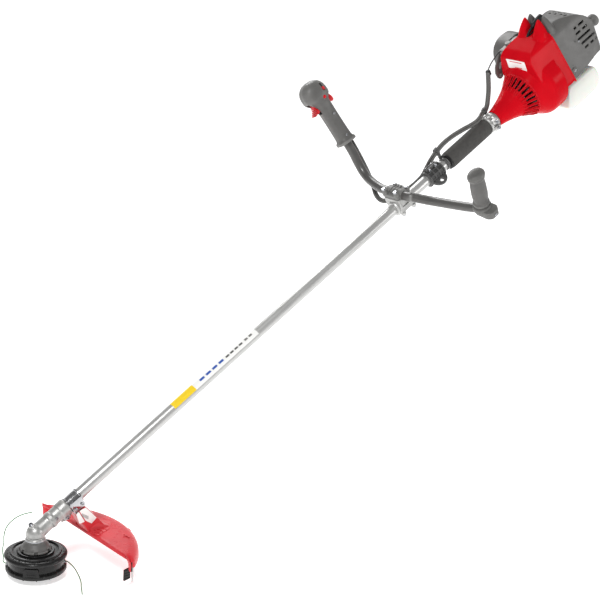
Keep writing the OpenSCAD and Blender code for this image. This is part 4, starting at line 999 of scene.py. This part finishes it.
def build_cover():
    outer = united(cover_body(0), ear(-1), ear(1))
    inner = cover_body(WALL)
    louvers = around(soften(block(108, 131, -2.3, 2.3, 28, 90), 0.8), range(-18, 150, 14), "X")
    plug_gap = rod_x(9.4, 198, 262, 0.5, 40, at=(0, 128))
    plug_top = block(196, 262, -9.4, 9.4, 128, 170)
    window = soften(block(166, 252, 42, 90, 47, 101), 3)
    mouth = block(-10, 36, -100, 100, -100, 100)
    shell = cut(outer, cut(inner, mouth), *louvers, plug_gap, plug_top, window)
    opening = lathe_x([(0, 20), (20, 20), (20, 62), (29, 93), (38, 103), (38, 110), (0, 110)], 64)
    shell = cut(shell, opening)
    add("front_cover_shell", moulded(shell, 1.0, 10), ENGINE, "red_plastic", ["front_cover"], 60)

    lip = lathe_x([(56.6, 132), (58.4, 131.4), (60, 132.4), (60.4, 134.4), (58.8, 135.6), (56.8, 134.6)], 120,
            ring=True)
    lip = common(lip, block(120, 150, -90, 30, -58, 62))
    seam = soften(prism(rounded([(-81.6, -22), (-47.6, 106.2), (-46, 104), (-79.6, -22)], 0.2), 244, 247.6,
            "YZ"), 0.5)
    fins = around(soften(prism([(96, 38), (132, 58.6), (134, 62), (130, 61), (96, 41)], -0.8, 0.8, "XZ"),
            0.35), range(-25, 157, 14), "X")
    add("front_cover_ribs", joined(lip, seam, *fins), ENGINE, "red_plastic")

    label = soften(prism(rounded([(-31, 65), (-31, 91), (31, 91), (31, 65)], 2), 150.9, 151.9, "YZ"), 0.3)
    lines = ((-20, 20, 86), (-16, 8, 70))
    bars = [soften(block(150.5, 151, y0, y1, z - 1.1, z + 1.1), 0.2) for y0, y1, z in lines]
    add("cover_label", label, ENGINE, "red_plastic", look=white_label)
    add("cover_label_bars", joined(*bars), ENGINE, "red_plastic", look=red_control)


build_cover()


# ---- Grey cylinder shroud ----
def shroud_body(d):
    across = prism(rounded(narrowed([(-81, -22), (-47, 106), (-30, 121), (30, 121), (47, 104), (47, -22)], d),
            12), PARTING + 0.3 - (6 if d else 0), REAR - d, "YZ")
    side = prism(rounded([(PARTING - 6, -40 if d else -22), (PARTING - 6, 122 - d), (300, 120 - d),
            (340 - d / 2, 108 - d), (366 - d, 88 - d), (380 - d, 60), (REAR - d, 28),
            (REAR - d, -40 if d else -4), (345, -40 if d else -4)], 14), -90, 90, "XZ")
    plan = prism(rounded([(PARTING - 6, -84), (340, -84), (372 - d, -66 + d / 2), (REAR + 1 - d, -34),
            (REAR + 1 - d, 30), (372 - d, 50), (PARTING - 6, 50)], 16), -60, 140, "XY")
    return common(common(across, side), plan)


def build_shroud():
    step = prism(rounded([(PARTING - 4, -40), (262, -34), (272, -20), (268, -4), (278, 14), (292, 30),
            (PARTING - 4, 44)], 8), 117.4, 140)
    outer = united(cut(shroud_body(0), step), ear(-1, False), ear(1, False))
    inner = shroud_body(WALL)
    half = 2.7
    side_rows = ((27, ((318, 332), (340, 352), (358, 366))), (40, ((314, 366),)), (54, ((310, 358),)),
                 (68, ((312, 330), (338, 356))), (82, ((314, 324), (332, 352))))
    top_rows = ((-28, ((318, 330), (338, 352))), (-12, ((322, 330), (336, 350))),
            (4, ((318, 326), (332, 342))), (20, ((316, 324), (332, 340))))
    slots = [block(x0, x1, -95, -40, z - half, z + half) for z, spans in side_rows for x0, x1 in spans]
    slots += [block(x0, x1, y - half, y + half, 84, 130) for y, spans in top_rows for x0, x1 in spans]
    slots = [soften(slot, 2.2, 3, 60) for slot in slots]
    plug = soften(block(PARTING - 2, 276, -12, 12, 100, 140), 3)
    boot_path = rod_x(9, PARTING - 4, 300, 0.5, 40, at=(0, 139))
    side_opening = block(PARTING - 1, 308, 38, 60, -40, 85)
    rear_opening = block(298, 390, 38, 60, -40, 36)
    rope_eye = rod_x(3, 370, 400, 0.1, 24, at=(-23, 41))
    shell = cut(outer, inner, *slots, plug, boot_path, side_opening, rear_opening, rope_eye)
    add("shroud_shell", moulded(shell, 1.0, 5), ENGINE, "grey_plastic", ["cylinder_shroud"], 60)

    outward = turn(15, "X") @ turn(90, "X")
    boss = placed(rod(6.4, -4, 3, 1), shift(258, -69, 8) @ outward)
    dish = placed(lathe([(6.0, 0), (7.4, 0), (7.4, 5), (6.6, 6), (5.6, 5.4), (5.4, 2)], 40, ring=True),
                  shift(257, -74, 2) @ outward)
    add("shroud_boss", joined(boss, dish), ENGINE, "grey_plastic")
    lower = placed(socket_head(4.2, 3), shift(257, -75.4, 2) @ outward)
    upper = placed(socket_head(2.8, 2), shift(304, -66.6, 56) @ outward)
    add("shroud_screws", joined(lower, upper), ENGINE, "bright_steel")


build_shroud()


# ---- Fuel tank, cap and far-side parts ----
FILLER, INTAKE, THROTTLE_SPINDLE, CABLE_EYE = (278, -80), (255, 59), (178, 84), (150, 35)


def build_tank():
    side = prism(rounded([(216, -88), (222, -104), (240, -116), (300, -116), (326, -106), (341, -86),
            (343, -58), (336, -42), (316, -37), (238, -37), (218, -88)], 18, 8), -58, 58, "XZ")
    across = prism(rounded([(-58, -98), (-42, -116), (42, -116), (58, -98), (58, -50), (50, -38), (-50, -38),
            (-58, -50)], 16, 8), 200, 350, "YZ")
    neck = rod_y(15, 40, 57.6, 1, 48, FILLER)
    mouth = rod_y(13, 36, 70, 0.1, 48, FILLER)
    skin = moulded(cut(united(common(side, across), neck), mouth), 1.3, 28)
    add("tank_shell", skin, ENGINE, "tank_plastic", ["fuel_tank"], 60)
    outline = rounded([(216.6, -86), (222, -104.4), (240, -116.6), (300, -116.6), (326, -105.4), (340.4, -84),
                       (340.4, -62), (328, -56.4), (318, -44), (236, -44)], 16, 8)
    seam = moulded(common(prism(outline, -0.9, 0.9, "XZ"), block(200, 350, -2, 2, -130, -36)), 0.5, 2)
    add("tank_seam", seam, ENGINE, "tank_plastic", sharp=60)

    place = shift(FILLER[0], 58.3, FILLER[1]) @ ALONG_Y
    cap = lathe([(0, -8), (12.7, -8), (12.7, 0.6), (16.8, 0.8), (18, 1.8), (18, 10.4), (17, 11.6), (15, 12),
            (9, 12.2), (0, 12.2)], 80)
    grips = notches(18, 18.9, 1.5, 1, 14)
    bar = soften(block(-15, 15, -3, 3, 11.4, 16.6), 1.4, 3)
    add("fuel_cap_skin", placed(joined(cut(cap, *grips), bar), place), ENGINE, "black_plastic", ["fuel_cap"],
            body="fuel_cap")


def build_filter_side():
    outline = rounded([(182, 26), (188, 12), (258, 12), (276, 30), (276, 70), (258, 92), (216, 94), (194, 82),
            (182, 56)], 14, 8)
    shell = prism(outline, 79, 118, "XZ")
    dome = placed(lathe([(0, 0), (68, 0), (66, 16), (60, 28), (50, 36), (38, 40), (0, 41)], 90),
            shift(229, 79, 54) @ ALONG_Y)
    collar = placed(rod(12, 0, 9, 0.4), shift(INTAKE[0], 72.6, INTAKE[1]) @ ALONG_Y)
    ribs = [soften(block(196 + 11 * k, 199 + 11 * k, 113, 120, 24, 80), 1) for k in range(6)]
    body = cut(united(common(shell, dome), *ribs), rod_x(84.6, 150, 215.6, 0.1, 96))
    hull = moulded(body, 1.0, 6)
    add("filter_cover_shell", joined(hull, collar), ENGINE, "grey_plastic", ["air_filter_cover"], 50)
    knob = joined(rod(9, 0, 8, 1.2), soften(block(-8, 8, -2, 2, 6, 11), 0.8))
    add("filter_knob", placed(knob, shift(232, 110, 52) @ ALONG_Y), ENGINE, "black_plastic")
    foam_ring = prism(rounded([(190, 20), (256, 20), (268, 34), (268, 68), (254, 84), (218, 86), (200, 76),
            (190, 52)], 12), 73.4, 79, "XZ")
    add("filter_gasket", soften(foam_ring, 1), ENGINE, "foam", look=black_rubber)

    body = united(soften(block(168, 234, 49, 69, 72, 98), 3, 3),
                  soften(block(226, 270, 36.4, 72, 50, 82), 3, 3))
    tower = placed(rod(8, 96, 105, 1), shift(196, 59, 0))
    bores = [rod_y(8, 30, 80, 0.1, at=INTAKE), rod_y(3.05, 40, 80, 0.1, at=THROTTLE_SPINDLE)]
    body = cut(united(body, tower), *bores)
    bolts = heads(3.2, 3, [shift(x, 69, z) @ ALONG_Y for x, z in ((196, 80), (226, 92))])
    linkage = soften(block(196, 232, 70.4, 72, 86, 92), 0.4)
    add("carburettor_casting", joined(moulded(body, 0.9, 3), linkage), ENGINE, "cast_alloy", ["carburettor"],
            50, look=dull_alloy)
    add("carburettor_screws", bolts, ENGINE, "bright_steel")

    arm = prism(rounded([(168, 88), (178, 93), (188, 84), (186, 72), (158, 28), (150, 25), (141, 30),
            (138, 47), (144, 62)], 5), 71, 75, "XZ")
    eye = rod_y(3, 60, 80, 0.1, 24, CABLE_EYE)
    window = soften(prism([(152, 52), (158, 50), (166, 64), (160, 66)], 70, 76, "XZ"), 0.1)
    spindle = rod_y(3, 50, 72, 0.2, 24, THROTTLE_SPINDLE)
    rim = placed(lathe([(3.1, 0), (5.6, 0), (5.6, 1.2), (4.8, 1.8), (3.1, 1.8)], 28, ring=True),
            shift(CABLE_EYE[0], 69.6, CABLE_EYE[1]) @ ALONG_Y)
    add("throttle_arm", joined(soften(cut(arm, eye, window), 0.7), spindle, rim), ENGINE, "grey_plastic",
            ["carb_lever"], body="carb_lever")


def build_plug():
    boot = lathe([(5.2, 110), (7.4, 110.2), (8, 111), (8, 115), (7.2, 116), (7.2, 118), (8.2, 119.4),
            (8.4, 131), (7.8, 135), (5.6, 138.4), (0, 139.4), (0, 126), (5.2, 126)], 48)
    arm_z, lean, sides = 137, 0.2, 28
    arm = [(x, 0, arm_z + lean * x) for x in (16, 14, 8, 0, -8, -14, -20, -24)]
    elbow = tube(arm, [5.4, 7.4, 7.9, 8, 7.8, 7.2, 6.2, 4.4], sides)
    rings = [tube([(x, 0, arm_z + lean * x), (x - 1.4, 0, arm_z - 0.3 + lean * x)], 8.4 - 0.4 * k, sides)
             for k, x in enumerate((-8, -12, -16))]
    add("plug_boot_skin", placed(joined(boot, elbow, *rings), shift(259, 0, 0)), ENGINE, "black_rubber",
            ["plug_boot"], 50)
    lead = spline([(238, 0, 132.6), (228, 0, 130), (219, 1, 124), (213, 4, 114), (211, 8, 104),
            (212, 12, 98)], 8)
    add("plug_lead", tube(lead, 3.2, 16), ENGINE, "black_rubber")


PULL_Y, PULL_Z = -23, 41


def build_starter():
    place = ENGINE @ shift(REAR + 2, PULL_Y, PULL_Z)
    handle = lathe_x([(1.8, 0), (5.6, 0), (7, 1), (7.6, 4), (8.4, 8), (11, 12), (14, 16), (15.4, 19.6),
            (15.6, 23), (15, 27), (12.6, 30.4), (8, 32.4), (0, 33)], 64)
    ribs = [lathe_x([(15.2, 20 + 3 * k), (15.9, 20.6 + 3 * k), (15.9, 21.2 + 3 * k), (15.2, 21.8 + 3 * k)],
            64, ring=True) for k in range(2)]
    add("starter_grip", joined(handle, *ribs), place, "grey_plastic", ["starter_handle"], 45,
            body="starter_handle")

    rope_start, rope_length, rope_r, steps = 344, 53, 1.75, 64
    route = [(rope_start + rope_length * k / steps, PULL_Y, PULL_Z) for k in range(steps + 1)]
    rope = as_object(placed(tube(route, rope_r, 12), ENGINE), "starter_rope_cord")
    shade(rope, rope_black)
    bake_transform(rope)
    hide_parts("starter_rope")


build_tank()
build_filter_side()
build_plug()
build_starter()


# ---- Floor, light and background ----
# Each lamp: place, size in metres, watts
LAMPS = {"key": ((-2.8, -1.6, 2.6), 1.0, 100), "fill": ((1.9, -2.8, 0.9), 0.7, 30),
         "rim": ((0.6, 2.4, 2.2), 1.6, 60)}


def build_stage():
    ground = knob_low.z - 0.0006
    bend_at, bend_r, half_width = 5, 3, 10
    rows = [(y, ground) for y in (-8, 0, bend_at)]
    for angle in range(10, 91, 10):
        a = math.radians(angle)
        rows.append((bend_at + bend_r * math.sin(a), ground + bend_r - bend_r * math.cos(a)))
    rows.append((bend_at + bend_r, ground + 9))
    sheet = from_rings([[(-half_width, y, z), (half_width, y, z)] for y, z in rows], caps=False, wrap=False)
    floor = as_object(sheet, "backdrop")
    floor.rotation_euler.z = math.radians(-40)
    paper = surface("backdrop_finish", (0.94, 0.94, 0.94), 0.7, 0.0, 0.01, 3, (80, 0.02), 0.04,
                    Emission_Color=(1, 1, 1, 1), Emission_Strength=0.6)
    shade(floor, paper)

    world = bpy.data.worlds.new("studio")
    world.use_nodes = True
    sky = world.node_tree.nodes["Background"]
    sky.inputs["Color"].default_value = (1, 1, 1, 1)
    sky.inputs["Strength"].default_value = 0.28
    bpy.context.scene.world = world
    bpy.context.scene.view_settings.view_transform = "Standard"
    aim = Vector((-0.3, 0, -0.2))
    for name, (where, size, power) in LAMPS.items():
        data = bpy.data.lights.new(name, "AREA")
        data.size, data.energy = size, power
        lamp = bpy.data.objects.new(name, data)
        lamp.location = where
        lamp.rotation_euler = (aim - Vector(where)).to_track_quat("-Z", "Y").to_euler()
        bpy.context.scene.collection.objects.link(lamp)


build_stage()
